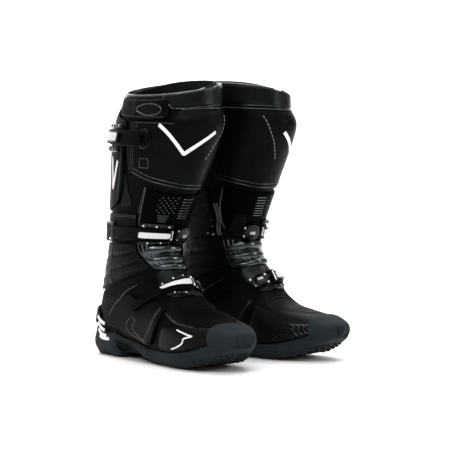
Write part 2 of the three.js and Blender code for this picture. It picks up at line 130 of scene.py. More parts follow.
def spline(values: Array, x: Array) -> Array:
    """Catmull-Rom through evenly spaced values, straight beyond the ends.

    Args:
        values: one row of numbers for each whole position.
        x: positions, any shape.

    Returns:
        The values at x, with x's shape and the row's length behind it.
    """
    rows = np.asarray(values, float)
    flat = rows.ndim == 1
    if flat:
        rows = rows[:, None]
    if len(rows) == 1:
        out = np.broadcast_to(rows[0], np.shape(x) + rows.shape[1:]).copy()
        return out[..., 0] if flat else out
    x = np.asarray(x, float)
    i = np.clip(np.floor(x).astype(int), 0, len(rows) - 2)
    t = (x - i)[..., None]
    ends = np.vstack([2 * rows[0] - rows[1], rows, 2 * rows[-1] - rows[-2]])
    p0, p1, p2, p3 = ends[i], ends[i + 1], ends[i + 2], ends[i + 3]
    out = 0.5 * (
        2 * p1
        + (p2 - p0) * t
        + (2 * p0 - 5 * p1 + 4 * p2 - p3) * t**2
        + (3 * p1 - p0 - 3 * p2 + p3) * t**3
    )
    return out[..., 0] if flat else out


def signed_power(x: Array, n: Array) -> Array:
    """The superellipse rule: the sign of x times its size to the power 2 over n.

    Args:
        x: cosines or sines of the angle.
        n: the superellipse exponents.

    Returns:
        The scaled values.
    """
    return np.sign(x) * np.abs(x) ** (2.0 / n)


def unit(v: Array) -> Array:
    """Each vector divided by its length.

    Args:
        v: vectors along the final axis.

    Returns:
        Vectors of length 1.
    """
    return v / np.maximum(np.linalg.norm(v, axis=-1, keepdims=True), 1e-12)


class Last:
    """The smooth surface that every piece of a boot lies on.

    A position is (station, around): station counts the sections from the collar rim down
    the leg and along the foot, around is in degrees from the front over the outer side.
    """

    def __init__(self, sections: Sequence[Section]) -> None:
        """Puts the sections' numbers into one table, a row for each section."""
        self.rows = np.array(
            [[*s.front, *s.back, s.half, s.lean, s.roll, s.nf, s.nb] for s in sections]
        )
        self.end = len(sections) - 1

    def point(self, station: Array, around: Array) -> Array:
        """Points of the surface: a superellipse between a section's front and back ends.

        Args:
            station: stations, in sections.
            around: angles, in degrees.

        Returns:
            Points (f, w, z) in millimetres.
        """
        station, around = np.broadcast_arrays(
            np.asarray(station, float), np.asarray(around, float)
        )
        pf, pz, qf, qz, half, lean, roll, nf, nb = np.moveaxis(
            spline(self.rows, station), -1, 0
        )
        angle = np.radians(around)
        n = np.where(np.cos(angle) > 0, nf, nb)
        c, s = signed_power(np.cos(angle), n), signed_power(np.sin(angle), n)
        f = (pf + qf) / 2 + (pf - qf) / 2 * c
        w = np.maximum(half, 0.5) * s - lean
        z = (pz + qz) / 2 + (pz - qz) / 2 * c - roll * s
        return np.stack([f, w, z], -1)

    def normal(self, station: Array, around: Array) -> Array:
        """Outward unit normals, from small steps along and across the surface.

        Args:
            station: stations, in sections.
            around: angles, in degrees.

        Returns:
            Unit vectors (f, w, z).
        """
        station = np.asarray(station, float)
        s0 = np.maximum(station - 0.05, -0.5)
        s1 = np.minimum(station + 0.05, self.end)
        down = self.point(s1, around) - self.point(s0, around)
        over = self.point(station, np.asarray(around, float) + 2) - self.point(
            station, np.asarray(around, float) - 2
        )
        return unit(np.cross(down, over))

    def at(self, station: Array, around: Array, lift: Array) -> Array:
        """Points a height above the surface, along its normal.

        Args:
            station: stations, in sections.
            around: angles, in degrees.
            lift: heights, in millimetres.

        Returns:
            Points (f, w, z) in millimetres.
        """
        return self.point(station, around) + self.normal(station, around) * np.asarray(
            lift, float
        )[..., None]


LAST = Last(SECTIONS)


@dataclass(frozen=True)
class Stance:
    """Where the two boots stand."""

    spread: float = 64.0
    line: float = 156.3
    toe_out: float = 5.4

    def place(self, points: Array, side: Side) -> Array:
        """Boot directions, in millimetres, to the row frame, in metres.

        Args:
            points: points (f, w, z).
            side: the boot they belong to.

        Returns:
            Points (x, y, z).
        """
        turn = math.radians(self.toe_out)
        f, w, z = np.moveaxis(np.asarray(points, float), -1, 0)
        x = self.spread + f * math.sin(turn) + w * math.cos(turn)
        y = self.line - f * math.cos(turn) + w * math.sin(turn)
        return np.stack([side.value * x, y, z], -1) / 1000.0


STANCE = Stance()


@dataclass(frozen=True)
class Layers:
    """Heights above the last of the faces of each layer, as in the CAD model."""

    gap: float = 0.9
    skin: float = 3.0
    liner: float = 4.0
    plate: float = 3.2
    thin: float = 2.2
    rand: float = 3.4
    strap: float = 2.4
    lever: float = 3.6
    catch: float = 5.0
    swell: float = 2.4

    @property
    def wrap_in(self) -> float:
        """Underside of the plates over strong curves."""
        return self.gap * 1.2

    @property
    def plate_out(self) -> float:
        """Face of the moulded plates."""
        return self.wrap_in + self.plate

    @property
    def thin_out(self) -> float:
        """Face of the thin plates."""
        return self.gap + self.thin

    @property
    def strap_in(self) -> float:
        """Underside of the straps."""
        return self.plate_out + self.gap

    @property
    def strap_out(self) -> float:
        """Face of the straps."""
        return self.strap_in + self.strap

    @property
    def lever_in(self) -> float:
        """Underside of the levers."""
        return self.strap_out + self.gap

    @property
    def lever_out(self) -> float:
        """Face of the levers."""
        return self.lever_in + self.lever


L = Layers()


# ---- meshes ----------------------------------------------------------------------------


def grid_faces(rows: int, columns: int, wrap: bool = False) -> Array:
    """Quads between neighbouring points of a grid.

    Args:
        rows: points down the grid.
        columns: points across it.
        wrap: whether the last column joins the first.

    Returns:
        Four point numbers for each quad.
    """
    index = np.arange(rows * columns).reshape(rows, columns)
    right = np.roll(index, -1, 1)
    if not wrap:
        index, right = index[:, :-1], right[:, :-1]
    return np.stack([index[:-1], index[1:], right[1:], right[:-1]], -1).reshape(-1, 4)


@dataclass
class Shape:
    """A mesh in the making: points in boot directions, faces and pattern coordinates."""

    points: Array
    faces: list[Array]
    uv: Optional[Array] = None

    def volume(self) -> float:
        """Six times the enclosed volume, negative when the faces point inwards."""
        total = 0.0
        for block in self.faces:
            a = self.points[block[:, 0]]
            for k in range(1, block.shape[1] - 1):
                b, c = self.points[block[:, k]], self.points[block[:, k + 1]]
                total += float(np.einsum("ij,ij->", a, np.cross(b, c)))
        return total


def join(shapes: Sequence[Shape]) -> Shape:
    """Several shapes as one, each with its faces turned outwards first.

    Args:
        shapes: the shapes, left as they are.

    Returns:
        The joined shape.
    """
    points, faces, uvs, start = [], [], [], 0
    for shape in shapes:
        turned = shape.volume() < 0
        points.append(shape.points)
        uvs.append(np.zeros((len(shape.points), 2)) if shape.uv is None else shape.uv)
        faces += [(b[:, ::-1] if turned else b) + start for b in shape.faces]
        start += len(shape.points)
    return Shape(np.vstack(points), faces, np.vstack(uvs))


def make(name: str, shape: Shape, side: Side, finish: "Finish", body: str) -> bpy.types.Object:
    """Turns a shape into a smooth mesh object in the row frame, riding on a body.

    Args:
        name: the piece's name without its side.
        shape: points in boot directions, millimetres.
        side: the boot it belongs to.
        finish: what it is made of.
        body: the CAD body it moves with.

    Returns:
        The new object.
    """
    flip = shape.volume() * side.value < 0
    mesh = bpy.data.meshes.new(f"{side.word}_{name}")
    blocks = [(b[:, ::-1] if flip else b) for b in shape.faces]
    corners = np.concatenate([b.reshape(-1) for b in blocks]).astype(np.int32)
    counts = np.concatenate([np.full(len(b), b.shape[1]) for b in blocks])
    starts = np.concatenate([[0], np.cumsum(counts)[:-1]]).astype(np.int32)
    mesh.vertices.add(len(shape.points))
    mesh.vertices.foreach_set("co", STANCE.place(shape.points, side).astype(np.float32).ravel())
    mesh.loops.add(len(corners))
    mesh.loops.foreach_set("vertex_index", corners)
    mesh.polygons.add(len(counts))
    mesh.polygons.foreach_set("loop_start", starts)
    mesh.polygons.foreach_set("use_smooth", np.ones(len(counts), bool))
    mesh.update(calc_edges=True)
    if shape.uv is not None:
        layer = mesh.uv_layers.new(name="pattern")
        layer.data.foreach_set("uv", shape.uv[corners].astype(np.float32).ravel())
    mesh.validate()
    obj = bpy.data.objects.new(mesh.name, mesh)
    bpy.context.scene.collection.objects.link(obj)
    mesh.materials.append(finish.material())
    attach(obj, body)
    return obj


def along(values: Numbers, x: Array) -> Array:
    """A value that changes along a side.

    Args:
        values: a number, or keys spread evenly from 0 to 1.
        x: places along the side, 0 to 1.

    Returns:
        The value at each place.
    """
    if np.ndim(values) == 0:
        return np.full(np.shape(x), float(values))
    return spline(np.asarray(values, float), np.asarray(x) * (len(values) - 1))


def eased(count: int, length: float, radius: float) -> Array:
    """Positions from 0 to 1, close together where a rim is rounded.

    Args:
        count: evenly spaced positions between the two rims.
        length: the side's length.
        radius: the rim's radius, in the same unit.

    Returns:
        The positions, rising.
    """
    near = np.array([0, 0.15, 0.4, 0.7, 1.0, 1.5]) * radius / max(length, 1e-6)
    near = np.minimum(near, 0.3)
    middle = np.linspace(near[-1], 1 - near[-1], count)[1:-1]
    return np.concatenate([near, middle, (1 - near)[::-1]])


def slab(upper: Array, lower: Array, uv: Array) -> Shape:
    """Two grids of points, joined into a closed body by a wall round their edges.

    Args:
        upper: the outer face's points, rows by columns.
        lower: the inner face's points, the same size.
        uv: pattern coordinates of the grid, in metres.

    Returns:
        The closed shape.
    """
    rows, columns = upper.shape[:2]
    faces = grid_faces(rows, columns)
    index = np.arange(rows * columns).reshape(rows, columns)
    loop = np.concatenate([index[0, :-1], index[:-1, -1], index[-1, :0:-1], index[:0:-1, 0]])
    after, under = np.roll(loop, -1), rows * columns
    ring = np.stack([loop, after, after + under, loop + under], -1)
    flat = uv.reshape(-1, 2)
    points = np.vstack([upper.reshape(-1, 3), lower.reshape(-1, 3)])
    return Shape(points, [faces, faces[:, ::-1] + under, ring], np.vstack([flat, flat]))


def path_length(points: Array) -> float:
    """Length of the line through a row of points."""
    return float(np.linalg.norm(np.diff(points, axis=0), axis=1).sum())


@dataclass
class Plate:
    """A plate lying on the last, with rounded corners and a rolled rim.

    top and foot are its stations along its width, start and end its angles along its
    height; low and high are the heights of its two faces.
    """

    start: Numbers
    end: Numbers
    top: Numbers
    foot: Numbers
    low: float
    high: float
    rows: int = 40
    columns: int = 50
    rim: float = 1.2
    corner: float = 9.0
    relief: Optional[Relief] = None

    def place(self, t: Array, a: Array) -> tuple[Array, Array]:
        """Station and angle at a share t down the plate and a share a across it.

        Args:
            t: shares of the way down, 0 to 1.
            a: shares of the way across, 0 to 1.

        Returns:
            The stations and the angles.
        """
        start, end = along(self.start, t), along(self.end, t)
        head = along(self.top, a)
        return head + (along(self.foot, a) - head) * t, start + (end - start) * a

    def on(self, t: Array, a: Array, lift: float) -> Array:
        """Points a height above the last at shares t and a of the plate.

        Args:
            t: shares of the way down.
            a: shares of the way across.
            lift: height above the last.

        Returns:
            Points (f, w, z).
        """
        station, around = self.place(np.asarray(t, float), np.asarray(a, float))
        return LAST.at(station, around, np.full(np.shape(station), lift))

    def size(self) -> tuple[float, float]:
        """Rough height and width of the plate, in millimetres."""
        mid = np.full(12, 0.5)
        run = np.linspace(0, 1, 12)
        tall = self.on(run, mid, self.high)
        wide = self.on(mid, run, self.high)
        return path_length(tall), path_length(wide)

    def shape(self) -> Shape:
        """The closed plate.

        A square grid is pulled into a rounded rectangle: a point at level m, the larger of
        its two distances from the middle, moves to the superellipse of that level. The
        face then falls along a quarter circle over the rim's width.
        """
        tall, wide = self.size()
        rim = min(self.rim, (self.high - self.low) * 0.8)
        t, a = np.meshgrid(
            eased(self.rows, tall, rim), eased(self.columns, wide, rim), indexing="ij"
        )
        edge = np.minimum(np.minimum(t, 1 - t) * tall, np.minimum(a, 1 - a) * wide)
        x, y = 2 * t - 1, 2 * a - 1
        n = self.corner
        level = np.maximum(np.abs(x), np.abs(y))
        norm = (np.abs(x) ** n + np.abs(y) ** n) ** (1 / n)
        pull = np.where(norm > 1e-9, level / np.maximum(norm, 1e-9), 1)
        x, y = x * pull, y * pull
        t, a = (x + 1) / 2, (y + 1) / 2
        station, around = self.place(t, a)
        fall = np.clip(1 - edge / rim, 0, 1)
        drop = rim * (1 - np.sqrt(np.maximum(1 - fall**2, 0)))
        lift = self.high - drop
        if self.relief is not None:
            lift = lift + self.relief(t, a) * np.clip(edge / (rim * 1.5), 0, 1)
        upper = LAST.at(station, around, lift)
        lower = LAST.at(station, around, np.full_like(lift, self.low))
        return slab(upper, lower, np.stack([a * wide, t * tall], -1) / 1000.0)


def sleeve(
    stations: Array, lifts: Array, columns: int, closed: bool, relief: Optional[Relief] = None
) -> Shape:
    """A body that goes all the way round: a profile of stations and heights, carried round.

    Args:
        stations: the profile's stations.
        lifts: its heights above the last.
        columns: steps round the boot.
        closed: whether the profile is a loop; if not, both of its ends get a cap.
        relief: extra height by station and angle, for the profile's outer half.

    Returns:
        The closed shape.
    """
    around = np.linspace(0, 360, columns, endpoint=False)
    s, v = np.meshgrid(np.asarray(stations, float), around, indexing="ij")
    lift = np.repeat(np.asarray(lifts, float)[:, None], columns, 1)
    if relief is not None:
        lift = lift + relief(s, v) * (lift > np.mean(lifts))
    points = LAST.at(s, v, lift)
    rows = len(stations)
    uv = np.stack([v / 360 * 0.3, s * 0.03], -1).reshape(-1, 2)
    faces = [grid_faces(rows, columns, wrap=True)]
    flat = points.reshape(-1, 3)
    index = np.arange(rows * columns).reshape(rows, columns)
    if closed:
        first, final = index[0], index[-1]
        faces.append(np.stack([final, first, np.roll(first, -1), np.roll(final, -1)], -1))
    else:
        tips = np.stack([points[0].mean(0), points[-1].mean(0)])
        flat = np.vstack([flat, tips])
        uv = np.vstack([uv, uv[:2]])
        n = rows * columns
        faces.append(np.stack([index[0], np.roll(index[0], -1), np.full(columns, n)], -1))
        faces.append(np.stack([np.roll(index[-1], -1), index[-1], np.full(columns, n + 1)], -1))
    return Shape(flat, faces, uv)


def wall(s0: float, s1: float, inner: float, outer: float, steps: int) -> tuple[Array, Array]:
    """A wall's closed profile: down the outside, round the foot, up the inside, round the top.

    Args:
        s0: station of its top.
        s1: station of its foot.
        inner: height of its inner face above the last.
        outer: height of its outer face.
        steps: points down each face.

    Returns:
        The profile's stations and its heights.
    """
    radius = (outer - inner) / 2
    run = np.linspace(s0, s1, steps)
    angle = np.linspace(0, math.pi, 7)[1:-1]
    nose = radius / 40.0
    foot_s, foot_l = s1 + nose * np.sin(angle), (inner + outer) / 2 + radius * np.cos(angle)
    head_s, head_l = s0 - nose * np.sin(angle), (inner + outer) / 2 - radius * np.cos(angle)
    stations = np.concatenate([run, foot_s, run[::-1], head_s])
    lifts = np.concatenate([np.full(steps, outer), foot_l, np.full(steps, inner), head_l])
    return stations, lifts


class Section2D(Enum):
    """Cross-sections of beads and ribbons, as (across, up) pairs of a unit width and height."""

    FLAT = ((-0.5, -0.2), (-0.5, 0.8), (-0.4, 1.0), (0.4, 1.0), (0.5, 0.8), (0.5, -0.2))
    ROUND = ((-0.5, -0.3), (-0.5, 0.25), (-0.3, 0.8), (0.0, 1.0), (0.3, 0.8), (0.5, 0.25), (0.5, -0.3))


def bead(
    path: Array, normals: Array, width: float, height: float, profile: Section2D, loop: bool = False
) -> Shape:
    """A bead or ribbon: a cross-section carried along a path, mitred where the path turns.

    Args:
        path: points in boot directions.
        normals: the surface's normals there.
        width: the cross-section's width.
        height: its height above the path.
        profile: its outline.
        loop: whether the path closes on itself.

    Returns:
        The closed shape.
    """
    if loop:
        before, after = path - np.roll(path, 1, 0), np.roll(path, -1, 0) - path
    else:
        step = np.diff(path, axis=0)
        before, after = np.vstack([step[:1], step]), np.vstack([step, step[-1:]])
    before, after = unit(before), unit(after)
    tangent = unit(before + after)
    stretch = 1 / np.maximum(np.sum(tangent * after, -1), 0.35)
    across = unit(np.cross(normals, tangent)) * stretch[:, None]
    section = np.array(profile.value)
    points = (
        path[:, None, :]
        + across[:, None, :] * (section[:, 0] * width)[None, :, None]
        + normals[:, None, :] * (section[:, 1] * height)[None, :, None]
    )
    count, k = len(path), len(section)
    index = np.arange(count * k).reshape(count, k)
    faces = [grid_faces(count, k, wrap=True)]
    if loop:
        faces.append(np.stack([index[-1], index[0], np.roll(index[0], -1), np.roll(index[-1], -1)], -1))
    else:
        faces += [index[:1], index[-1:, ::-1]]
    run = np.concatenate([[0], np.cumsum(np.linalg.norm(np.diff(path, axis=0), axis=1))])
    uv = np.stack(np.broadcast_arrays(run[:, None], section[None, :, 0] * width), -1) / 1000.0
    return Shape(points.reshape(-1, 3), faces, uv.reshape(-1, 2))


def trace(keys: Sequence[tuple[float, float]], steps: int, smooth: bool = True) -> tuple[Array, Array]:
    """Stations and angles along a line through keys, curved or straight from key to key.

    Args:
        keys: (station, angle) pairs.
        steps: points along the line.
        smooth: curved if set, otherwise straight.

    Returns:
        The stations and the angles.
    """
    table = np.array(keys, float)
    x = np.linspace(0, len(keys) - 1, steps)
    if smooth:
        out = spline(table, x)
    else:
        out = np.stack([np.interp(x, np.arange(len(keys)), table[:, k]) for k in (0, 1)], -1)
    return out[:, 0], out[:, 1]


def line_bead(
    keys: Sequence[tuple[float, float]],
    lift: float,
    width: float,
    height: float,
    profile: Section2D = Section2D.ROUND,
    smooth: bool = True,
    steps: int = 60,
    loop: bool = False,
) -> Shape:
    """A bead that follows (station, angle) keys at a height above the last.

    Args:
        keys: (station, angle) keys of the line.
        lift: height of its foot above the last.
        width: the cross-section's width.
        height: the cross-section's height.
        profile: the cross-section's outline.
        smooth: whether the line curves through the keys or runs straight between them.
        steps: points along the line.
        loop: whether the line closes on itself.

    Returns:
        The closed shape.
    """
    station, around = trace(list(keys) + ([keys[0]] if loop else []), steps + (1 if loop else 0), smooth)
    if loop:
        station, around = station[:-1], around[:-1]
    path = LAST.at(station, around, np.full(len(station), lift))
    return bead(path, LAST.normal(station, around), width, height, profile, loop)


def stitches(
    keys: Sequence[tuple[float, float]], lift: float, pitch: float = 3.4, thread: float = 0.45
) -> Shape:
    """A row of stitches: short six-sided threads laid end to end along a line, each a lens.

    Args:
        keys: (station, angle) keys of the line.
        lift: height above the last.
        pitch: distance from stitch to stitch.
        thread: the thread's radius.

    Returns:
        The stitches, as one shape.
    """
    station, around = trace(keys, 200)
    path = LAST.at(station, around, np.full(len(station), lift))
    normals = LAST.normal(station, around)
    run = np.concatenate([[0], np.cumsum(np.linalg.norm(np.diff(path, axis=0), axis=1))])
    count = max(int(run[-1] / pitch), 1)
    centre = (np.arange(count) + 0.5) * pitch

    def pick(values: Array) -> Array:
        """The values halfway along each stitch."""
        return np.stack([np.interp(centre, run, values[:, k]) for k in range(3)], -1)

    middle, normal = pick(path), unit(pick(normals))
    ahead = unit(np.gradient(path, axis=0))
    forward = unit(pick(ahead))
    across = unit(np.cross(normal, forward))
    x = np.array([-0.5, -0.32, 0.32, 0.5]) * pitch * 0.72
    r = np.array([0.25, 1.0, 1.0, 0.25]) * thread
    angle = np.linspace(0, 2 * math.pi, 6, endpoint=False)
    ring = (
        x[None, :, None, None] * forward[:, None, None, :]
        + (r[:, None] * np.cos(angle))[None, :, :, None] * across[:, None, None, :]
        + (r[:, None] * np.sin(angle))[None, :, :, None] * normal[:, None, None, :]
    )
    points = (middle[:, None, None, :] + ring).reshape(count, -1, 3)
    index = np.arange(24).reshape(4, 6)
    sides = grid_faces(4, 6, wrap=True)
    caps = np.stack([index[0], index[3, ::-1]])
    start = (np.arange(count) * 24)[:, None, None]
    faces = [(sides[None] + start).reshape(-1, 4), (caps[None] + start).reshape(-1, 6)]
    return Shape(points.reshape(-1, 3), faces)


def disc(middle: Array, normal: Array, radius: float, height: float) -> Shape:
    """A low round boss: circles of falling radius stacked along a normal.

    Args:
        middle: its centre, on the surface.
        normal: the direction it stands in.
        radius: at its foot.
        height: above the surface.

    Returns:
        The closed shape.
    """
    angle = np.linspace(0, 2 * math.pi, 28, endpoint=False)
    side = unit(np.cross(normal, [0.0, 0.31, 0.95]))
    up = np.cross(side, normal)
    r = np.array([1.0, 1.0, 0.96, 0.88, 0.5]) * radius
    h = np.array([-0.6, 0.6, 0.9, 1.0, 1.0]) * height
    points = (
        middle
        + (r[:, None] * np.cos(angle))[..., None] * side
        + (r[:, None] * np.sin(angle))[..., None] * up
        + h[:, None, None] * normal
    ).reshape(-1, 3)
    index = np.arange(len(r) * 28).reshape(len(r), 28)
    return Shape(points, [grid_faces(len(r), 28, wrap=True), index[:1], index[-1:, ::-1]])


def stud(station: float, around: float, lift: float, radius: float, height: float) -> Shape:
    """A round boss on the last.

    Args:
        station: where it stands along the last.
        around: its angle.
        lift: height of the surface it stands on.
        radius: at its foot.
        height: above that surface.

    Returns:
        The closed shape.
    """
    place = np.array(station, float), np.array(around, float)
    return disc(LAST.at(*place, np.array(lift)), LAST.normal(*place), radius, height)


# ---- finishes ------------------------------------------------------------------------------


class Channel:
    """A shader socket that takes part in Python arithmetic by adding Math nodes."""

    def __init__(self, graph: "Graph", socket: bpy.types.NodeSocket) -> None:
        """Wraps a socket of that graph."""
        self.graph = graph
        self.socket = socket

    def math(self, operation: str, *others: Union["Channel", float]) -> "Channel":
        """One Math node of that operation, with this socket first.

        Args:
            operation: Blender's name of the operation.
            others: its further values.

        Returns:
            Its result.
        """
        return self.graph.math(operation, self, *others)

    def __add__(self, other: Union["Channel", float]) -> "Channel":
        """Sum."""
        return self.math("ADD", other)

    __radd__ = __add__

    def __mul__(self, other: Union["Channel", float]) -> "Channel":
        """Product."""
        return self.math("MULTIPLY", other)

    __rmul__ = __mul__

    def __sub__(self, other: Union["Channel", float]) -> "Channel":
        """Difference."""
        return self.math("SUBTRACT", other)

    def __rsub__(self, other: float) -> "Channel":
        """Difference from a number."""
        return self.graph.math("SUBTRACT", other, self)

    def __truediv__(self, other: Union["Channel", float]) -> "Channel":
        """Quotient."""
        return self.math("DIVIDE", other)

    def __pow__(self, other: float) -> "Channel":
        """Power."""
        return self.math("POWER", other)

    def clamp(self) -> "Channel":
        """Limited to 0 to 1."""
        return self.graph.math("MINIMUM", self.math("MAXIMUM", 0.0), 1.0)

    def step(self, low: float, high: float) -> "Channel":
        """A smooth rise from 0 at low to 1 at high.

        Args:
            low: where the rise starts.
            high: where it ends.

        Returns:
            The share, 0 to 1.
        """
        node = self.graph.node(
            "ShaderNodeMapRange",
            {"interpolation_type": "SMOOTHSTEP"},
            {"Value": self, "From Min": low, "From Max": high},
        )
        return Channel(self.graph, node.outputs["Result"])


Value = Union[Channel, float, tuple]


class Graph:
    """The node tree of one material, with a Principled shader at its end."""

    def __init__(self, name: str) -> None:
        """Makes the material and its shader."""
        self.material = bpy.data.materials.new(name)
        self.material.use_nodes = True
        self.tree = self.material.node_tree
        self.shader = self.tree.nodes["Principled BSDF"]
        self.shader.inputs["Specular Tint"].default_value = (0.84, 0.96, 1.0, 1.0)

    def node(self, kind: str, settings: dict, inputs: dict[Union[str, int], Value]) -> bpy.types.Node:
        """Adds a node: its type, its settings, then its inputs' values or links.

        Args:
            kind: Blender's name of the node type.
            settings: attributes, set first; "stops" fills a ramp.
            inputs: values or channels by socket name or number.

        Returns:
            The node.
        """
        made = self.tree.nodes.new(kind)
        for key, setting in settings.items():
            if key == "stops":
                ramp = made.color_ramp
                for k, (place, colour) in enumerate(setting):
                    stop = ramp.elements[k] if k < 2 else ramp.elements.new(place)
                    stop.position, stop.color = place, (*colour, 1.0)
            else:
                setattr(made, key, setting)
        for key, value in inputs.items():
            if isinstance(value, Channel):
                self.tree.links.new(value.socket, made.inputs[key])
            else:
                made.inputs[key].default_value = value
        return made

    def math(self, operation: str, *values: Value) -> Channel:
        """A Math node of that operation on one to three values.

        Args:
            operation: Blender's name of the operation.
            values: numbers or channels.

        Returns:
            Its result.
        """
        made = self.node("ShaderNodeMath", {"operation": operation}, dict(enumerate(values)))
        return Channel(self, made.outputs[0])

    def coordinates(self, pattern: bool = False) -> Channel:
        """Object coordinates, or the piece's own pattern coordinates.

        Args:
            pattern: whether to use the piece's own.

        Returns:
            The coordinates, as a vector.
        """
        made = self.node("ShaderNodeTexCoord", {}, {})
        return Channel(self, made.outputs["UV" if pattern else "Object"])

    def split(self, vector: Channel) -> tuple[Channel, Channel, Channel]:
        """The three parts of a vector."""
        made = self.node("ShaderNodeSeparateXYZ", {}, {0: vector})
        return tuple(Channel(self, made.outputs[k]) for k in range(3))

    def noise(self, where: Channel, scale: float, detail: float = 4.0, rough: float = 0.5) -> Channel:
        """Smooth noise, 0 to 1, with that many cells in a metre.

        Args:
            where: coordinates.
            scale: cells in a metre.
            detail: finer layers added.
            rough: their strength.

        Returns:
            The noise.
        """
        made = self.node(
            "ShaderNodeTexNoise", {}, {"Vector": where, "Scale": scale, "Detail": detail, "Roughness": rough}
        )
        return Channel(self, made.outputs[0])

    def cells(self, where: Channel, scale: float, feature: str = "F1") -> Channel:
        """Distance in a Voronoi pattern with that many cells in a metre.

        Args:
            where: coordinates.
            scale: cells in a metre.
            feature: which distance is taken.

        Returns:
            The distance.
        """
        made = self.node(
            "ShaderNodeTexVoronoi", {"feature": feature}, {"Vector": where, "Scale": scale}
        )
        return Channel(self, made.outputs["Distance"])

    def mix(self, share: Value, a: Value, b: Value) -> Channel:
        """Colour a towards colour b by a share.

        Args:
            share: 0 gives a, 1 gives b.
            a: first colour.
            b: second colour.

        Returns:
            The mixed colour.
        """
        made = self.node(
            "ShaderNodeMix", {"data_type": "RGBA"}, {"Factor": share, 6: a, 7: b}
        )
        return Channel(self, made.outputs[2])

    def bump(self, height: Channel, depth: float, below: Optional[Channel] = None) -> Channel:
        """A normal from a height pattern, that many metres deep.

        Args:
            height: the pattern, 0 to 1.
            depth: its depth in metres.
            below: a normal to start from.

        Returns:
            The normal.
        """
        inputs: dict[Union[str, int], Value] = {"Height": height, "Distance": depth, "Strength": 1.0}
        if below is not None:
            inputs["Normal"] = below
        made = self.node("ShaderNodeBump", {}, inputs)
        return Channel(self, made.outputs[0])

    def feed(self, **values: Value) -> None:
        """Sets or links the shader's sockets, named with _ for spaces."""
        for key, value in values.items():
            socket = self.shader.inputs[key.replace("_", " ")]
            if isinstance(value, Channel):
                self.tree.links.new(value.socket, socket)
            else:
                socket.default_value = value


def grey(level: float, blue: float = 0.0) -> tuple[float, float, float, float]:
    """A neutral colour with a small cool tint.

    Args:
        level: its brightness.
        blue: strength of the tint.

    Returns:
        Red, green, blue and alpha.
    """
    return (level * (1 - blue), level * (1 - blue * 0.15), level * (1 + blue * 0.4), 1.0)


class Finish:
    """What a piece is made of: the record's slot, and a material built once."""

    slot = "moulded_shell"
    _made: dict[str, bpy.types.Material] = {}

    def key(self) -> str:
        """The material's name."""
        return type(self).__name__.lower()

    def build(self, g: Graph) -> None:
        """Fills the graph."""
        raise NotImplementedError

    def material(self) -> bpy.types.Material:
        """The finish's material, made on first use."""
        name = self.key()
        if name not in Finish._made:
            graph = Graph(name)
            self.build(graph)
            Finish._made[name] = graph.material
        return Finish._made[name]


@dataclass(frozen=True)
class Leather(Finish):
    """Grained leather: cell-shaped pebbles with creases between, softly polished in places."""

    slot: str = "upper_leather"
    label: str = "upper_leather"
    tone: float = 0.0085
    rough: float = 0.52
    pebble: float = 900.0
    depth: float = 0.00012
    crease: float = 0.0
    shine: float = 0.03

    def key(self) -> str:
        """The material's name."""
        return self.label

    def build(self, g: Graph) -> None:
        """Pebbles from cell distance, broad creases from stretched noise, patchy sheen."""
        where = g.coordinates()
        pebbles = g.cells(where, self.pebble, "SMOOTH_F1")
        fine = g.noise(where, self.pebble * 2.2, 2.0)
        broad = g.noise(where, 28.0, 5.0, 0.6)
        height = pebbles * 0.8 + fine * 0.25
        normal = g.bump(height, self.depth)
        if self.crease:
            folds = g.noise(where, 46.0, 3.0, 0.65)
            ridge = ((folds - 0.5).math("ABSOLUTE") * 6.0).clamp()
            normal = g.bump(ridge, self.crease, normal)
        g.feed(
            Base_Color=g.mix(broad.step(0.35, 0.75), grey(self.tone, 0.1), grey(self.tone * 2.1, 0.16)),
            Roughness=(broad * 0.22 + fine * 0.1 + self.rough - 0.14).clamp(),
            Normal=normal,
            Specular_IOR_Level=self.shine,
        )


@dataclass(frozen=True)
class Moulded(Finish):
    """Moulded shell: a fine spark-eroded texture, faint scuffs and paler rubbed patches."""

    slot: str = "moulded_shell"
    label: str = "moulded_shell"
    tone: float = 0.0022
    rough: float = 0.38
    grain: float = 2600.0
    depth: float = 0.00004
    shine: float = 0.032

    def key(self) -> str:
        """The material's name."""
        return self.label

    def build(self, g: Graph) -> None:
        """Grain from fine noise, scuffs from noise stretched along the leg."""
        where = g.coordinates()
        grain = g.noise(where, self.grain, 2.0, 0.6)
        patches = g.noise(where, 22.0, 5.0, 0.62)
        stretch = g.node("ShaderNodeMapping", {}, {"Vector": where, "Scale": (9.0, 9.0, 1.0)})
        scuffs = g.noise(Channel(g, stretch.outputs[0]), 60.0, 3.0, 0.7)
        scuff = scuffs.step(0.64, 0.72)
        tone = g.mix(patches.step(0.3, 0.75), grey(self.tone * 0.8, 0.14), grey(self.tone * 1.4, 0.2))
        g.feed(
            Base_Color=g.mix(scuff * 0.35, tone, grey(self.tone * 3.0, 0.1)),
            Roughness=(patches * 0.2 + scuff * 0.1 + self.rough - 0.1).clamp(),
            Normal=g.bump(grain, self.depth),
            Specular_IOR_Level=self.shine,
        )


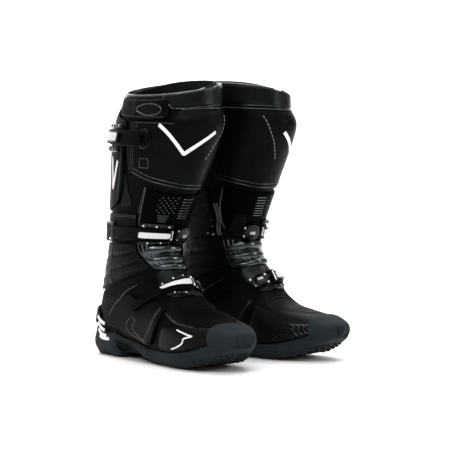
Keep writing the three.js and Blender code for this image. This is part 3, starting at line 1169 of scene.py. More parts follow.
@dataclass(frozen=True)
class Ribbed(Finish):
    """Rubber with raised bars, straight or in chevrons, placed by the piece's pattern; bars painted lighter
    and grooves darker as painted highlight and shade.
    """

    slot: str = "rubber_grip"
    label: str = "grip_rubber"
    tone: float = 0.002
    pitch: float = 0.006
    slant: float = 0.6

    def key(self) -> str:
        """The material's name."""
        return self.label

    def build(self, g: Graph) -> None:
        """Bars where a zigzag of the two pattern coordinates is in the upper part of its turn."""
        x, y, _ = g.split(g.coordinates(pattern=True))
        zig = ((x / 0.02).math("FRACT") - 0.5).math("ABSOLUTE") * 0.02 * self.slant
        wave = ((y + zig) / self.pitch).math("FRACT")
        bar = wave.step(0.25, 0.4) * (1.0 - wave.step(0.75, 0.9))
        grain = g.noise(g.coordinates(), 1800.0, 2.0)
        g.feed(
            # bars lighter, grooves darker: painted highlight and painted shade that follow the bump
            Base_Color=g.mix(bar, grey(self.tone * 0.6), grey(self.tone * 1.7, 0.1)),
            Roughness=(grain * 0.2 + 0.6).clamp(),
            Normal=g.bump(bar, 0.0009, g.bump(grain, 0.00005)),
            Specular_IOR_Level=0.06,
        )


@dataclass(frozen=True)
class Rubber(Finish):
    """Sole rubber: dull, with paler dusty mottling in broad random patches."""

    slot: str = "rubber_sole"
    label: str = "sole_rubber"
    tone: float = 0.013

    def key(self) -> str:
        """The material's name."""
        return self.label

    def build(self, g: Graph) -> None:
        """Mottle from broad noise, grain from fine noise."""
        where = g.coordinates()
        mottle = g.noise(where, 35.0, 6.0, 0.65)
        grain = g.noise(where, 1500.0, 3.0, 0.6)
        g.feed(
            Specular_IOR_Level=0.12,
            Base_Color=g.mix(mottle.step(0.3, 0.8), grey(self.tone * 0.75, 0.25), grey(self.tone * 1.5, 0.3)),
            Roughness=(mottle * 0.15 + grain * 0.15 + 0.55).clamp(),
            Normal=g.bump(grain, 0.00008, g.bump(mottle, 0.0003)),
        )


@dataclass(frozen=True)
class GlossRubber(Finish):
    """Shiny moulded rubber of the bellows and of the bright edge beads."""

    slot: str = "bellows_rubber"
    label: str = "gloss_rubber"
    tone: float = 0.0025
    rough: float = 0.13

    def key(self) -> str:
        """The material's name."""
        return self.label

    def build(self, g: Graph) -> None:
        """A nearly even gloss, dulled in patches."""
        where = g.coordinates()
        patches = g.noise(where, 60.0, 4.0)
        fine = g.noise(where, 900.0, 2.0)
        g.feed(
            Base_Color=g.mix(patches, grey(self.tone), grey(self.tone * 2.0, 0.15)),
            Roughness=(patches * 0.22 + self.rough - 0.05).clamp(),
            Normal=g.bump(fine, 0.00004),
            Specular_IOR_Level=0.75,
        )


@dataclass(frozen=True)
class Woven(Finish):
    """Lining cloth: threads over and under, by the piece's pattern."""

    slot: str = "lining_fabric"
    label: str = "lining_fabric"
    tone: float = 0.006
    thread: float = 0.0016

    def key(self) -> str:
        """The material's name."""
        return self.label

    def build(self, g: Graph) -> None:
        """A plain weave: the product of two sine waves decides which thread is on top."""
        where = g.coordinates()
        x, y, z = g.split(where)
        u = ((x + y) / self.thread * math.pi).math("SINE")
        v = (z / self.thread * math.pi).math("SINE")
        weave = u * v * 0.5 + 0.5
        fuzz = g.noise(where, 1200.0, 3.0)
        broad = g.noise(where, 18.0, 4.0)
        g.feed(
            Base_Color=g.mix(weave * 0.7 + broad * 0.3, grey(self.tone * 0.6), grey(self.tone * 1.9, 0.15)),
            Roughness=(fuzz * 0.1 + 0.85).clamp(),
            Normal=g.bump(weave, 0.0003, g.bump(fuzz, 0.0001)),
            Specular_IOR_Level=0.1,
        )


@dataclass(frozen=True)
class Mesh3D(Finish):
    """Open vent mesh: a honeycomb of holes between shiny bars, the holes painted near black as painted shade.
    """

    slot: str = "mesh"
    label: str = "vent_mesh"
    tone: float = 0.004
    cell: float = 0.0026

    def key(self) -> str:
        """The material's name."""
        return self.label

    def build(self, g: Graph) -> None:
        """Holes in staggered rows, by the piece's pattern, coloured near black as painted shade seen inside
        them.
        """
        x, y, _ = g.split(g.coordinates(pattern=True))
        row = (y / self.cell).math("FLOOR")
        dx = ((x + row.math("MODULO", 2.0) * (self.cell * 0.5)) / self.cell).math("FRACT") - 0.5
        dy = (y / self.cell).math("FRACT") - 0.5
        far = (dx**2.0 + dy**2.0) ** 0.5
        hole = 1.0 - far.step(0.26, 0.38)
        g.feed(
            # the holes are painted near black: painted shade inside the vent
            Base_Color=g.mix(hole, grey(self.tone, 0.2), grey(0.0006)),
            Roughness=(hole * 0.4 + 0.4).clamp(),
            Normal=g.bump(1.0 - hole, 0.0005),
            Specular_IOR_Level=0.08,
        )


@dataclass(frozen=True)
class Metal(Finish):
    """Brushed light metal of the buckles."""

    slot: str = "buckle_metal"
    label: str = "buckle_metal"
    tone: float = 0.55
    rough: float = 0.3

    def key(self) -> str:
        """The material's name."""
        return self.label

    def build(self, g: Graph) -> None:
        """Fine lines along the leg, handled spots a little duller."""
        where = g.coordinates()
        stretch = g.node("ShaderNodeMapping", {}, {"Vector": where, "Scale": (1.0, 1.0, 14.0)})
        lines = g.noise(Channel(g, stretch.outputs[0]), 900.0, 2.0, 0.7)
        spots = g.noise(where, 70.0, 4.0)
        g.feed(
            Base_Color=g.mix(spots, grey(self.tone * 0.8), grey(self.tone * 1.15)),
            Metallic=1.0,
            Roughness=(spots * 0.2 + lines * 0.15 + self.rough - 0.12).clamp(),
            Normal=g.bump(lines, 0.00002),
        )


@dataclass(frozen=True)
class Print(Finish):
    """Pale printed or moulded-in marks with a little wear, and pale dots that are painted glints."""

    slot: str = "moulded_shell"
    label: str = "white_print"
    tone: float = 0.8
    rough: float = 0.45

    def key(self) -> str:
        """The material's name."""
        return self.label

    def build(self, g: Graph) -> None:
        """Nearly even, with faint rubbed specks."""
        where = g.coordinates()
        specks = g.noise(where, 420.0, 4.0, 0.7)
        broad = g.noise(where, 40.0, 3.0)
        wear = specks.step(0.66, 0.76) * 0.35
        pale = (self.tone, self.tone * 0.985, self.tone * 1.01, 1.0)
        g.feed(
            Base_Color=g.mix(wear, pale, grey(self.tone * 0.45)),
            Roughness=(broad * 0.15 + self.rough - 0.05).clamp(),
            Normal=g.bump(specks, 0.00003),
        )


LEATHER = Leather(tone=0.0012)
SOFT_LEATHER = Leather("soft_leather", "soft_leather", 0.0022, 0.36, 760.0, 0.0001, 0.00025, 0.05)
COLLAR_SKIN = Leather("soft_leather", "collar_skin", 0.003, 0.3, 1500.0, 0.00006, 0.0, 0.11)
SHELL = Moulded()
# dark moulded shell of the lower guard and strap boss, also painted shade in the sole's waist recess
DARK_SHELL_AND_RECESS_SHADE = Moulded("moulded_shell", "dark_shell_and_recess_shade", 0.001, 0.4, 2600.0, 0.00004, 0.01)
BUCKLE = Moulded("buckle_plastic", "buckle_plastic", 0.002, 0.22, 1400.0, 0.00002, 0.22)
TOE_SHELL = Moulded("moulded_shell", "toe_shell", 0.003, 0.42, 2600.0, 0.00004, 0.06)
GRIP = Ribbed()
SOLE = Rubber()
GLOSS = GlossRubber()
LINING = Woven()
VENT_MESH = Mesh3D()
METAL = Metal()
STEEL = Metal("steel", "steel", 0.5, 0.35)
WHITE = Print()
LABEL = Print("buckle_plastic", "label_plate", 0.6, 0.3)
THREAD = Print("soft_leather", "thread", 0.04, 0.6)
# pale grey dots: painted glints on the lower guard's vent holes
PAINTED_GLINT_DOTS = Print("moulded_shell", "painted_glint_dots", 0.12, 0.4)
PALE_THREAD = Print("soft_leather", "pale_thread", 0.25, 0.5)


# ---- the boot ---------------------------------------------------------------------------------


BEND_TOP = (100.0, 0.0, 166.0)
BEND_FOOT = (80.0, 0.0, 104.0)


@dataclass
class Part:
    """Common ground of the sub-assemblies of one boot."""

    side: Side
    made: list[str] = field(default_factory=list)

    def body(self, name: str) -> str:
        """A CAD body of this boot."""
        return f"{self.side.word}_{name}"

    def add(
        self, name: str, shape: Union[Shape, Sequence[Shape]], finish: Finish, body: str, *nodes: str
    ) -> bpy.types.Object:
        """Makes a piece on a body of this boot, standing for CAD nodes of this boot.

        Args:
            name: the piece's name without its side.
            shape: one shape, or several that become one piece.
            finish: what it is made of.
            body: the body it rides on, without its side.
            nodes: the CAD nodes it stands for.

        Returns:
            The new object.
        """
        whole = shape if isinstance(shape, Shape) else join(shape)
        obj = make(name, whole, self.side, finish, self.body(body))
        if nodes:
            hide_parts(*[f"{self.side.word}_{n}" for n in nodes])
        self.made.append(obj.name)
        return obj

    def bend(
        self, name: str, shape: Union[Shape, Sequence[Shape]], finish: Finish, *nodes: str
    ) -> bpy.types.Object:
        """Makes a soft piece on the foot body, then takes it off the body and bakes its place into the mesh.

        Args:
            name: the piece's name without its side.
            shape: one shape, or several that become one piece.
            finish: what it is made of.
            nodes: the CAD nodes it stands for.

        Returns:
            The new object, on no body.
        """
        obj = self.add(name, shape, finish, "foot", *nodes)
        obj.parent = None
        obj.pop("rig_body", None)
        leg = STANCE.place(np.array(BEND_TOP), self.side)
        foot = STANCE.place(np.array(BEND_FOOT), self.side)
        self.body("shaft")
        self.body("foot")
        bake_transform(obj)
        return obj

    def dress(self, node: str, finish: Finish) -> None:
        """Gives a CAD node that stays visible its finish.

        Args:
            node: the node's name without its side.
            finish: what it is made of.
        """
        obj = bpy.data.objects.get(f"{self.side.word}_{node}")
        if obj is None:
            raise KeyError(node)
        for k in range(len(obj.material_slots)):
            obj.material_slots[k].material = finish.material()


def smooth(x: Array, low: float, high: float) -> Array:
    """A smooth rise from 0 at low to 1 at high: 3 t squared less 2 t cubed."""
    t = np.clip((x - low) / (high - low), 0, 1)
    return t * t * (3 - 2 * t)


def crease(distance: Array, width: float, depth: float) -> Array:
    """A soft valley with a small ridge on each side: depth (d² / w² - 1) exp(-d² / w²).

    Args:
        distance: from the valley's line.
        width: the w of the formula.
        depth: how deep it goes.

    Returns:
        The height.
    """
    x = (distance / width) ** 2
    return depth * (x - 1) * np.exp(-x)


@dataclass
class Sole(Part):
    """Rubber outsole with its rand and toe cap, the steel shank and the footbed."""

    heel_bevel: float = 8.0
    arch_lift: float = 8.0
    toe_spring: float = 34.0
    spring_start: float = 205.0
    toe_tip: float = 316.0
    blend: float = 20.0
    flat: float = 2.6
    recess: float = 0.75
    edge_stations: tuple[float, ...] = (
        9.15, 9.6, 10, 10.5, 11, 11.5, 12, 12.5, 13, 14, 15, 16, 16.6, 17, 17.6,
    )
    edge_angles: tuple[float, ...] = (
        147, 126, 106, 99, 102, 107, 113, 118, 115, 107, 106, 102, 94, 74, 46,
    )

    def tread(self, f: Array) -> Array:
        """Height of the tread: a heel bevel, a raised arch and a toe that curls up.

        Args:
            f: distance forward from the heel.

        Returns:
            Heights above the floor.
        """
        arch = self.arch_lift * (smooth(f, 74, 80) - smooth(f, 112, 122))
        run = np.maximum(f - self.spring_start, 0) / (self.toe_tip - self.spring_start)
        return self.heel_bevel * (1 - smooth(f, -6, 16)) + arch + self.toe_spring * run**2.1

    def skin(self, s: Array, around: Array) -> Array:
        """Outer surface of the rubber: the last's, drawn down to the tread near the floor.

        Args:
            s: stations.
            around: angles.

        Returns:
            Points (f, w, z).
        """
        points = LAST.at(s, around, np.full(np.shape(s), L.gap + L.rand))
        under = LAST.point(s, np.full(np.shape(s), 180.0))[..., 2] - L.rand - L.gap
        rise = np.maximum(points[..., 2] - under, 0)
        target = self.tread(points[..., 0])
        wall = points[..., 2] + (target - under) * np.clip(1 - rise / self.blend, 0, 1)
        points[..., 2] = target + np.maximum(wall - target, 0) * smooth(rise, self.flat * 0.5, self.flat * 2)
        return points

    def waist(self, turned: Array) -> tuple[Array, Array]:
        """Stations where the recess behind the heel block starts and ends, at an angle.

        Args:
            turned: angles from the front, on either side.

        Returns:
            The first and the final station.
        """
        return 10.7 + 0.4 * (turned - 100) / 56, 11.4 + 1.1 * (turned - 96) / 50

    def recess_lining(self) -> list[Shape]:
        """A dark sheet in the recess on each side of the sole: painted shade where the recess lies in shadow.
        """
        t, u = np.meshgrid(np.linspace(0, 1, 24), np.linspace(0, 1, 30), indexing="ij")
        turned = 110 + 44 * u
        rear, fore = self.waist(turned)
        s = rear + 0.12 + (fore - rear - 0.2) * t
        out = []
        for turn in (1, -1):
            v = turn * turned
            under = LAST.at(s, v, np.full(s.shape, L.gap * 1.1))
            face = self.skin(s, v) + (under - self.skin(s, v)) * self.recess
            normal = LAST.normal(s, v)
            out.append(slab(face + normal * 0.35, face - normal * 0.3, np.stack([u, t], -1) * 0.03))
        return out

    def build(self) -> None:
        """The outsole, its rolled upper edge, the toe cap, lugs, badge and inner pieces."""
        s = np.concatenate([np.linspace(9.15, 12.4, 74), np.linspace(12.4, 17.3, 45)[1:]])
        edge = np.interp(s, self.edge_stations, self.edge_angles)
        across = np.linspace(0, 1, 91)
        around = edge[:, None] + (360 - 2 * edge[:, None]) * across[None, :]
        station = np.repeat(s[:, None], len(across), 1)
        outer = self.skin(station, around)
        inner = LAST.at(station, around, np.full(station.shape, L.gap * 1.1))
        turned = np.minimum(around, 360 - around)
        beyond = turned - edge[:, None]
        rear, fore = self.waist(turned)
        inset = smooth(station - rear, 0, 0.15) * (1 - smooth(station - fore, -0.1, 0.1))
        inset = inset * smooth(beyond, 3, 7) * (1 - smooth(turned, 158, 170))
        outer = outer + (inner - outer) * self.recess * inset[..., None]
        near = np.minimum(across, 1 - across)[None, :, None] * (360 - 2 * edge[:, None, None]) / 2.2
        roll = np.sqrt(np.maximum(1 - np.clip(1 - near, 0, 1) ** 2, 0))
        outer = inner + (outer - inner) * (0.35 + 0.65 * roll)
        rubber = slab(outer, inner, np.stack([around / 360 * 0.3, station * 0.03], -1))
        self.add("outsole_rubber", rubber, SOLE, "foot", "outsole")
        inside = np.linspace(17.86, 16.1, 40)
        outside = np.concatenate([[16.05, 16.06, 16.09, 16.13], np.linspace(16.2, 18.0, 70)])
        lifts = np.concatenate([np.full(40, 1.2), [2.6, 3.3, 3.8, 4.1], np.full(70, 4.24)])
        cap = sleeve(np.concatenate([inside, outside]), lifts, 120, False)
        self.add("toe_cap_rubber", cap, SOLE, "foot")
        # a dark sheet of painted shade in the waist recess behind the heel block
        self.add("waist_recess", self.recess_lining(), DARK_SHELL_AND_RECESS_SHADE, "foot")
        self.add("toe_lugs", self.lugs(), SOLE, "foot")
        self.add("toe_badge", self.badge(), SOLE, "foot")
        self.add("sole_welt", self.welt(), SOLE, "foot")
        self.dress("shank", STEEL)
        self.dress("footbed", LINING)

    def welt(self) -> list[Shape]:
        """A fine raised line below the rubber's upper edge on each side."""
        s = np.linspace(11.0, 16.6, 120)
        drop = np.interp(s, self.edge_stations, self.edge_angles) + 7
        out = []
        for turn in (1, -1):
            path = self.skin(s, turn * drop)
            out.append(bead(path, LAST.normal(s, turn * drop), 1.3, 0.7, Section2D.ROUND))
        return out

    def lugs(self) -> list[Shape]:
        """Staggered rows of small blocks under the curled tip of the toe."""
        out = []
        for row in range(4):
            for k in range(9):
                s = np.array(15.0 + 0.38 * row + 0.1 * (k % 2))
                v = np.array(180 + (k - 4) * (11.0 - row))
                out.append(disc(self.skin(s, v), LAST.normal(s, v), 2.7 - 0.3 * row, 1.8))
        return out

    def badge(self) -> list[Shape]:
        """A round ring and an inner disc pressed into the tip of the toe."""
        middle = np.array([317.5, -0.5, 45.0])
        normal = unit(np.array([0.98, 0.12, -0.16]))
        rings = ((8.6, 3.0), (6.4, 3.7), (3.4, 4.1))
        return [disc(middle, normal, radius, height) for radius, height in rings]


@dataclass
class Foot(Part):
    """Foot shell, toe guard, heel counter and ankle shells."""

    def build(self) -> None:
        """The upper of the foot and the plates on it."""
        inner = np.linspace(17.75, 7.76, 30)
        outer = np.linspace(7.76, 17.75, 120)
        stations = np.concatenate([inner, outer])
        lifts = np.concatenate([np.full(30, -L.skin), np.zeros(120)])
        self.add("foot_upper", sleeve(stations, lifts, 110, False), LEATHER, "foot", "foot_shell")
        self.toe()
        self.heel()
        self.ankles()
        self.instep()

    def toe(self) -> None:
        """The guard round the toe and the fine texture of its inner side."""
        guard = Plate(
            (-109, -102, -101, -96, -60), (109, 102, 101, 96, 60),
            (13.15, 13.15, 13.4, 15.5, 16.15, 16.15, 15.8, 13.4, 13.05), (17.05, 17.15, 17.2, 17.15, 17.05),
            L.gap * 1.5, L.thin_out, 60, 110, 1.4, 9.0,
        )
        self.add("toe_guard_shell", guard.shape(), TOE_SHELL, "foot", "toe_guard")
        pores = [
            stud(14.5 + 0.17 * k, -(86 + 5 * j + 1.2 * (k % 2)), L.thin_out - 0.1, 0.75, 0.7)
            for j in range(3) for k in range(8)
        ]
        self.add("toe_guard_pores", pores, GLOSS, "foot")
        waves = []
        for k in range(5):
            s = 15.3 + 0.22 * k
            keys = ((s, -74), (s + 0.2, -80), (s + 0.12, -88), (s + 0.3, -95))
            waves.append(line_bead(keys, L.thin_out, 1.4, 0.9))
        self.add("toe_guard_waves", waves, GLOSS, "foot")

    def heel(self) -> None:
        """The counter round the heel and the pale generic bars of its badge."""
        counter = Plate(
            (136, 128, 120, 116), (224, 232, 240, 244),
            (8.45, 8.2, 8.12, 8.2, 8.45), (9.02, 9.04, 9.06, 9.04, 9.02),
            L.wrap_in, L.plate_out, 30, 80, 1.6,
        )
        self.add("heel_counter_shell", counter.shape(), SHELL, "foot", "heel_counter")
        bars = []
        for turn in (1, -1):
            for high, low in (
                ((8.98, 121), (9.6, 103)), ((9.28, 117.5), (9.92, 104.5)),
                ((9.6, 116), (10.25, 107.5)), ((9.95, 116.5), (10.52, 110.5)),
            ):
                keys = [(s, turn * v) for s, v in (high, low)]
                bars.append(line_bead(keys, 4.5, 4.6, 0.8, Section2D.FLAT, False, 10))
        self.add("heel_badge_bars", bars, WHITE, "foot")

    def ankles(self) -> None:
        """The outer and inner ankle shells with piping and hems."""
        for turn, name in ((1, "outer"), (-1, "inner")):
            front = (76, 66, 58, 52)
            below = (116, 104, 94, 102, 112)
            top, foot = (8.8, 8.4, 8.25), (12.85, 12.8, 12.72)
            if turn == 1:
                shell = Plate(front, below, top, foot, L.gap, L.plate_out, 70, 60, 1.8, 9.0)
            else:
                shell = Plate(
                    tuple(-v for v in below), tuple(-v for v in front), top[::-1], foot[::-1],
                    L.gap, L.plate_out, 70, 60, 1.8, 9.0,
                )
            self.add(f"{name}_ankle_plate", shell.shape(), SHELL, "foot", f"{name}_ankle_shell")
            lines = []
            for inset in (4.5, 8.0):
                lines.append(line_bead(
                    [(s, turn * (v - inset)) for s, v in ((10.6, 94), (11.2, 98), (11.8, 104), (12.45, 111))],
                    L.plate_out, 1.1, 0.7,
                ))
                lines.append(line_bead(
                    [(12.66 - inset * 0.035, turn * v) for v in (58, 74, 90, 104)], L.plate_out, 1.1, 0.8,
                ))
            self.add(f"{name}_ankle_lines", lines, GLOSS, "foot")
            keys = [(s, turn * v) for s, v in ((8.55, 64), (8.6, 80), (8.9, 90), (9.35, 97))]
            self.add(f"{name}_ankle_piping", line_bead(keys, L.plate_out, 1.3, 0.9), GLOSS, "foot")

    def instep(self) -> None:
        """The ribbed flex zone over the toes, and seams on the vamp."""

        def ribs(t: Array, a: Array) -> Array:
            """Eleven ribs along the zone, fading towards both of its sides."""
            return 1.1 * np.abs(np.sin(math.pi * 11 * t)) ** 0.7 * np.exp(-(((a - 0.42) / 0.2) ** 4))

        flex = Plate((-34, -40, -40, -30), (24, 36, 46, 48), (13.0, 12.7, 13.0), (15.85, 16.0, 15.85),
                     0.3, 0.9, 60, 90, 0.8, 8.0, ribs)
        self.add("flex_zone", flex.shape(), LEATHER, "foot")
        tongue = Plate((-44, -40, -36), (40, 36, 34), (7.95, 7.9, 7.95), (12.3, 12.5, 12.3),
                       0.2, 1.5, 60, 50, 1.2, 6.0)
        self.add("instep_pad", tongue.shape(), COLLAR_SKIN, "foot")
        seams = []
        for turn in (1, -1):
            seam = [(s, turn * v) for s, v in ((12.95, 56), (13.6, 54), (14.6, 55), (15.7, 57))]
            edge = [(s, turn * v) for s, v in ((12.9, 60), (13.6, 58), (14.6, 58.5), (15.8, 60))]
            seams.append(stitches(seam, 0.35))
            seams.append(line_bead(edge, 0.0, 1.8, 1.2))
        self.add("vamp_seams", seams, GLOSS, "foot")


@dataclass
class Ankle(Part):
    """The soft section between leg and foot, with its bellows."""

    def build(self) -> None:
        """Creased gaiter, padded side panels with piping, and ribbed bellows, none of them on a body."""

        def wrinkle(s: Array, v: Array) -> Array:
            """Shallow waves down the gaiter, shifted a little round the ankle."""
            return -0.5 + 0.3 * np.sin((s - 6.0) * 7 + np.sin(np.radians(v) * 2))

        def ribs(t: Array, a: Array) -> Array:
            """Three tall ribs, highest in the middle of the bellows."""
            rib = np.abs(np.sin(math.pi * 3 * t)) ** 0.75
            return 1.2 + 4.6 * rib * (0.25 + 0.75 * np.sin(math.pi * a))

        stations, lifts = wall(6.04, 7.7, -L.skin, -0.1, 60)
        soft = sleeve(stations, lifts, 120, True, wrinkle)
        gaiter = self.bend("ankle_leather", soft, SOFT_LEATHER, "ankle_gaiter")
        panels, piping = [], []
        for turn in (1, -1):
            near, far = (60, 58, 49, 38), (150, 150, 152, 152)

            def folds(t: Array, a: Array, turn: int = turn) -> Array:
                """The creases, counted from the bellows on both sides."""
                return self.folds(t, a if turn == 1 else 1 - a)

            start, end = (near, far) if turn == 1 else (tuple(-v for v in far), tuple(-v for v in near))
            panels.append(Plate(start, end, 6.07, 7.67, 0.2, 2.6, 76, 66, 2.2, 7.0, folds).shape())
            front = [(6.08, turn * 57), (6.5, turn * 53), (7.0, turn * 43), (7.66, turn * 33)]
            piping.append(line_bead(front, 2.2, 2.2, 1.8))
            for k in (1, 2):
                piping.append(line_bead([(s, v - turn * 7 * k) for s, v in front], 1.6, 5.0, 3.2))
            rear = [(s, turn * v) for s, v in ((6.12, 109), (6.7, 108), (7.3, 106), (7.66, 101))]
            piping.append(line_bead(rear, 2.3, 1.5, 1.1))
        padded = self.bend("ankle_side_panels", panels, SOFT_LEATHER)
        self.bend("ankle_piping", piping, GLOSS)
        bellows = Plate(
            (-54, -52, -50), (52, 44, 34),
            (6.4, 6.16, 6.1, 6.16, 6.3), (7.9, 8.25, 8.3, 8.2, 7.9),
            0.9, 1.6, 110, 80, 1.0, 9.0, ribs,
        )
        self.bend("bellows_ribs", bellows.shape(), GLOSS, "bellows")

    def folds(self, t: Array, a: Array) -> Array:
        """Creases that fan out from the bellows towards the back of the ankle.

        Args:
            t: shares of the way down the panel.
            a: shares of the way back from the bellows.

        Returns:
            The height of the relief.
        """
        lines = ((0.22, 0.12, 0.07), (0.52, 0.2, 0.08), (0.86, 0.04, 0.06))
        total = np.zeros(np.shape(t))
        for start, slope, width in lines:
            depth = 1.3 * (0.35 + 0.65 * np.sin(math.pi * np.clip(a, 0, 1)))
            total = total + crease(t - start - slope * a - 0.03 * np.sin(5 * a), width, 1.0) * depth
        return total + 0.5 * np.sin(math.pi * a) * np.sin(math.pi * t)


@dataclass
class Leg(Part):
    """Shaft, collar, lining and the plates of the leg."""

    def build(self) -> None:
        """Everything that moves with the shin."""
        stations, lifts = wall(1.0, 5.98, -L.skin, 0.0, 70)
        self.add("shaft_leather", sleeve(stations, lifts, 90, True), LEATHER, "shaft", "shaft_shell")
        stations, lifts = wall(-0.05, 5.88, -8.1, -4.15, 36)
        lining = self.add("lining_tube", sleeve(stations, lifts, 80, True), LINING, "shaft", "liner")
        self.collar()
        self.window()
        self.shin()
        self.guard()
        self.calf()
        self.marks()

    def collar(self) -> None:
        """The soft band round the rim, a front piece of the same skin over it, and glossy rolled edges."""

        def swell(s: Array, v: Array) -> Array:
            """Padding that is fullest halfway down the band, the same all round."""
            return 2.2 - 2.0 * np.abs(s - 0.45)

        stations, lifts = wall(0.03, 0.87, -L.skin + 0.6, 0.2, 30)
        padded = sleeve(stations, lifts, 130, True, swell)
        collar = self.add("collar_band", padded, COLLAR_SKIN, "shaft", "collar")
        rim = [(0.02, v) for v in range(0, 360, 30)]
        hem = [(0.93, v) for v in range(-150, -49, 25)]
        front_edge = [
            (0.03, 60), (0.4, 56), (0.75, 51), (0.96, 46), (0.98, 28), (0.94, 8), (0.9, -20), (0.92, -52),
        ]
        rolls = [
            line_bead(rim, 1.4, 3.2, 1.8, Section2D.ROUND, True, 180, True),
            line_bead(hem, 0.6, 2.6, 2.2, Section2D.ROUND, True, 60),
            line_bead(front_edge, 2.2, 2.0, 1.7, Section2D.ROUND, True, 140),
        ]
        self.add("collar_edges", rolls, GLOSS, "shaft")
        front = Plate((-150, -150), (57, 46), 0.06, 0.86, 2.0, 4.0, 30, 160, 1.8, 16.0)
        band = self.add("collar_front_band", front.shape(), COLLAR_SKIN, "shaft")

    def window(self) -> None:
        """The outer panel below the rim with its stitched edge and the oval vent."""
        low = L.swell + L.gap
        panel = Plate((54, 52, 52, 53), (124, 126, 124, 118), (0.2, 0.14, 0.12, 0.14), (1.74, 1.8, 1.8, 1.7),
                      low, low + L.thin, 60, 90, 1.6, 7.0)
        self.add("window_frame", panel.shape(), SHELL, "shaft", "window_panel")
        high = low + L.thin
        turn = np.linspace(0, 360, 13)[:-1]
        oval = [(1.07 + 0.5 * math.sin(math.radians(v)), 76 + 15.5 * math.cos(math.radians(v))) for v in turn]
        ring = line_bead(oval, high, 2.2, 1.3, Section2D.ROUND, True, 120, True)
        self.add("vent_ring", ring, GLOSS, "shaft")
        mesh = Plate(61.5, 90.5, 0.62, 1.52, high - 1.0, high + 0.25, 40, 60, 0.5, 2.1)
        self.add("vent_mesh_disc", mesh.shape(), VENT_MESH, "shaft", "vent")
        hem = [(0.32, 58), (0.3, 90), (0.32, 119), (1.0, 121), (1.62, 114), (1.68, 90), (1.66, 57)]
        threads = [stitches(hem[k:k + 2], high) for k in range(len(hem) - 1)]
        threads += [stitches([(0.28, 95.5), (1.7, 93.5)], high), stitches([(0.28, 98.5), (1.7, 96.5)], high)]
        self.add("window_stitches", threads, THREAD, "shaft")

    def shin(self) -> None:
        """The shin plate with its double bright hem, side seam and small moulded tab."""
        shin = Plate(
            (-92, -96, -98, -92, -78), (98, 96, 94, 91, 88),
            (1.08, 1, 1, 1, 1, 1, 1, 1, 1.02, 1.86, 1.9, 1.9, 1.9),
            (3.85, 4.0, 4.12, 4.13, 4.06, 3.9, 3.64),
            L.gap * 1.5, L.plate_out, 80, 100, 1.8, 16.0,
        )
        self.add("shin_plate_shell", shin.shape(), SHELL, "shaft", "shin_plate")
        out = L.plate_out
        lower = [(3.86, -72), (3.99, -50), (4.08, -25), (4.09, 0), (4.01, 30), (3.87, 60), (3.66, 84)]
        lines = [
            line_bead([(s - 0.05, v) for s, v in lower], out - 0.3, 1.5, 1.3),
            line_bead([(s - 0.15, v) for s, v in lower], out - 0.1, 1.2, 0.8),
            line_bead([(1.08, v) for v in range(-84, 37, 20)], out - 0.3, 1.6, 1.2),
            line_bead([(2.0, 95), (2.7, 93), (3.2, 90.5), (3.55, 87)], out - 0.3, 1.4, 1.0),
            line_bead([(1.98, 46), (1.97, 62), (2.0, 92)], out - 0.3, 1.2, 0.9),
        ]
        tab = [(3.24, 64), (3.24, 75), (3.5, 73), (3.5, 62)]
        lines.append(line_bead(tab, out, 1.0, 0.6, Section2D.ROUND, False, 48, True))
        self.add("shin_plate_hems", lines, GLOSS, "shaft")
        seam = [
            stitches([(2.05, 91.5), (2.5, 90.5), (3.04, 88.5), (3.55, 84.5)], out),
            stitches([(2.05, 88.5), (2.5, 87.5), (3.04, 85.5), (3.5, 81.5)], out),
        ]
        self.add("shin_stitches", seam, THREAD, "shaft")
        pale_seam = stitches([(1.5, -35), (2.15, -28), (2.7, -17), (3.31, -7)], out, 6.0, 0.5)
        self.add("shin_pale_stitches", pale_seam, PALE_THREAD, "shaft")

    def guard(self) -> None:
        """The lower shin guard: side beads, studs on its vent holes painted pale as painted glints, fine bars
        and a tongue.
        """
        out = L.plate_out
        guard = Plate((-70, -70, -62, -48), (62, 61, 60, 58),
                      (4.04, 4.22, 4.26, 4.22, 4.08), (5.5, 5.86, 5.92, 5.92, 5.88),
                      L.gap, out, 70, 90, 1.8, 12.0)
        self.add("lower_guard_shell", guard.shape(), DARK_SHELL_AND_RECESS_SHADE, "shaft", "lower_guard")
        holes = []
        for row in range(7):
            for k in range(4):
                v = 32 - 7.6 * k + (3.8 if row % 2 else 0)
                holes.append(stud(4.32 + 0.075 * row, v, out - 0.1, 0.62, 0.5))
        # the studs are painted pale as painted glints on the vent holes
        self.add("guard_studs", holes, PAINTED_GLINT_DOTS, "shaft")
        bars = [line_bead([(4.87 + 0.07 * k, 33 - k), (4.88 + 0.07 * k, 24), (4.87 + 0.07 * k, 15 + k)],
                          out, 1.3, 0.6) for k in range(4)]
        bars += [line_bead([(4.36 + 0.085 * k, -15), (4.37 + 0.085 * k, -7), (4.36 + 0.085 * k, 1)],
                           out, 1.5, 0.8) for k in range(8)]
        self.add("guard_bars", bars, GLOSS, "shaft")
        edges = [
            line_bead([(4.05, 59.5), (4.45, 59.2), (4.85, 58.6), (5.25, 57.8)], out - 0.4, 1.6, 1.3),
            line_bead([(4.05, 62.5), (4.45, 63.5), (4.85, 63.8)], 0.3, 1.6, 1.6),
            line_bead([(4.12, -67), (4.6, -67), (5.1, -63), (5.5, -56)], out - 0.4, 1.6, 1.2),
        ]
        self.add("guard_edges", edges, GLOSS, "shaft")
        tongue = Plate((-46, -47, -45), (-26, -22, -22), (4.98, 4.94, 4.98), (5.85, 5.9, 5.85),
                       out + 0.05, out + 1.6, 40, 30, 1.5, 5.0)
        self.add("guard_tongue", tongue.shape(), SHELL, "shaft")

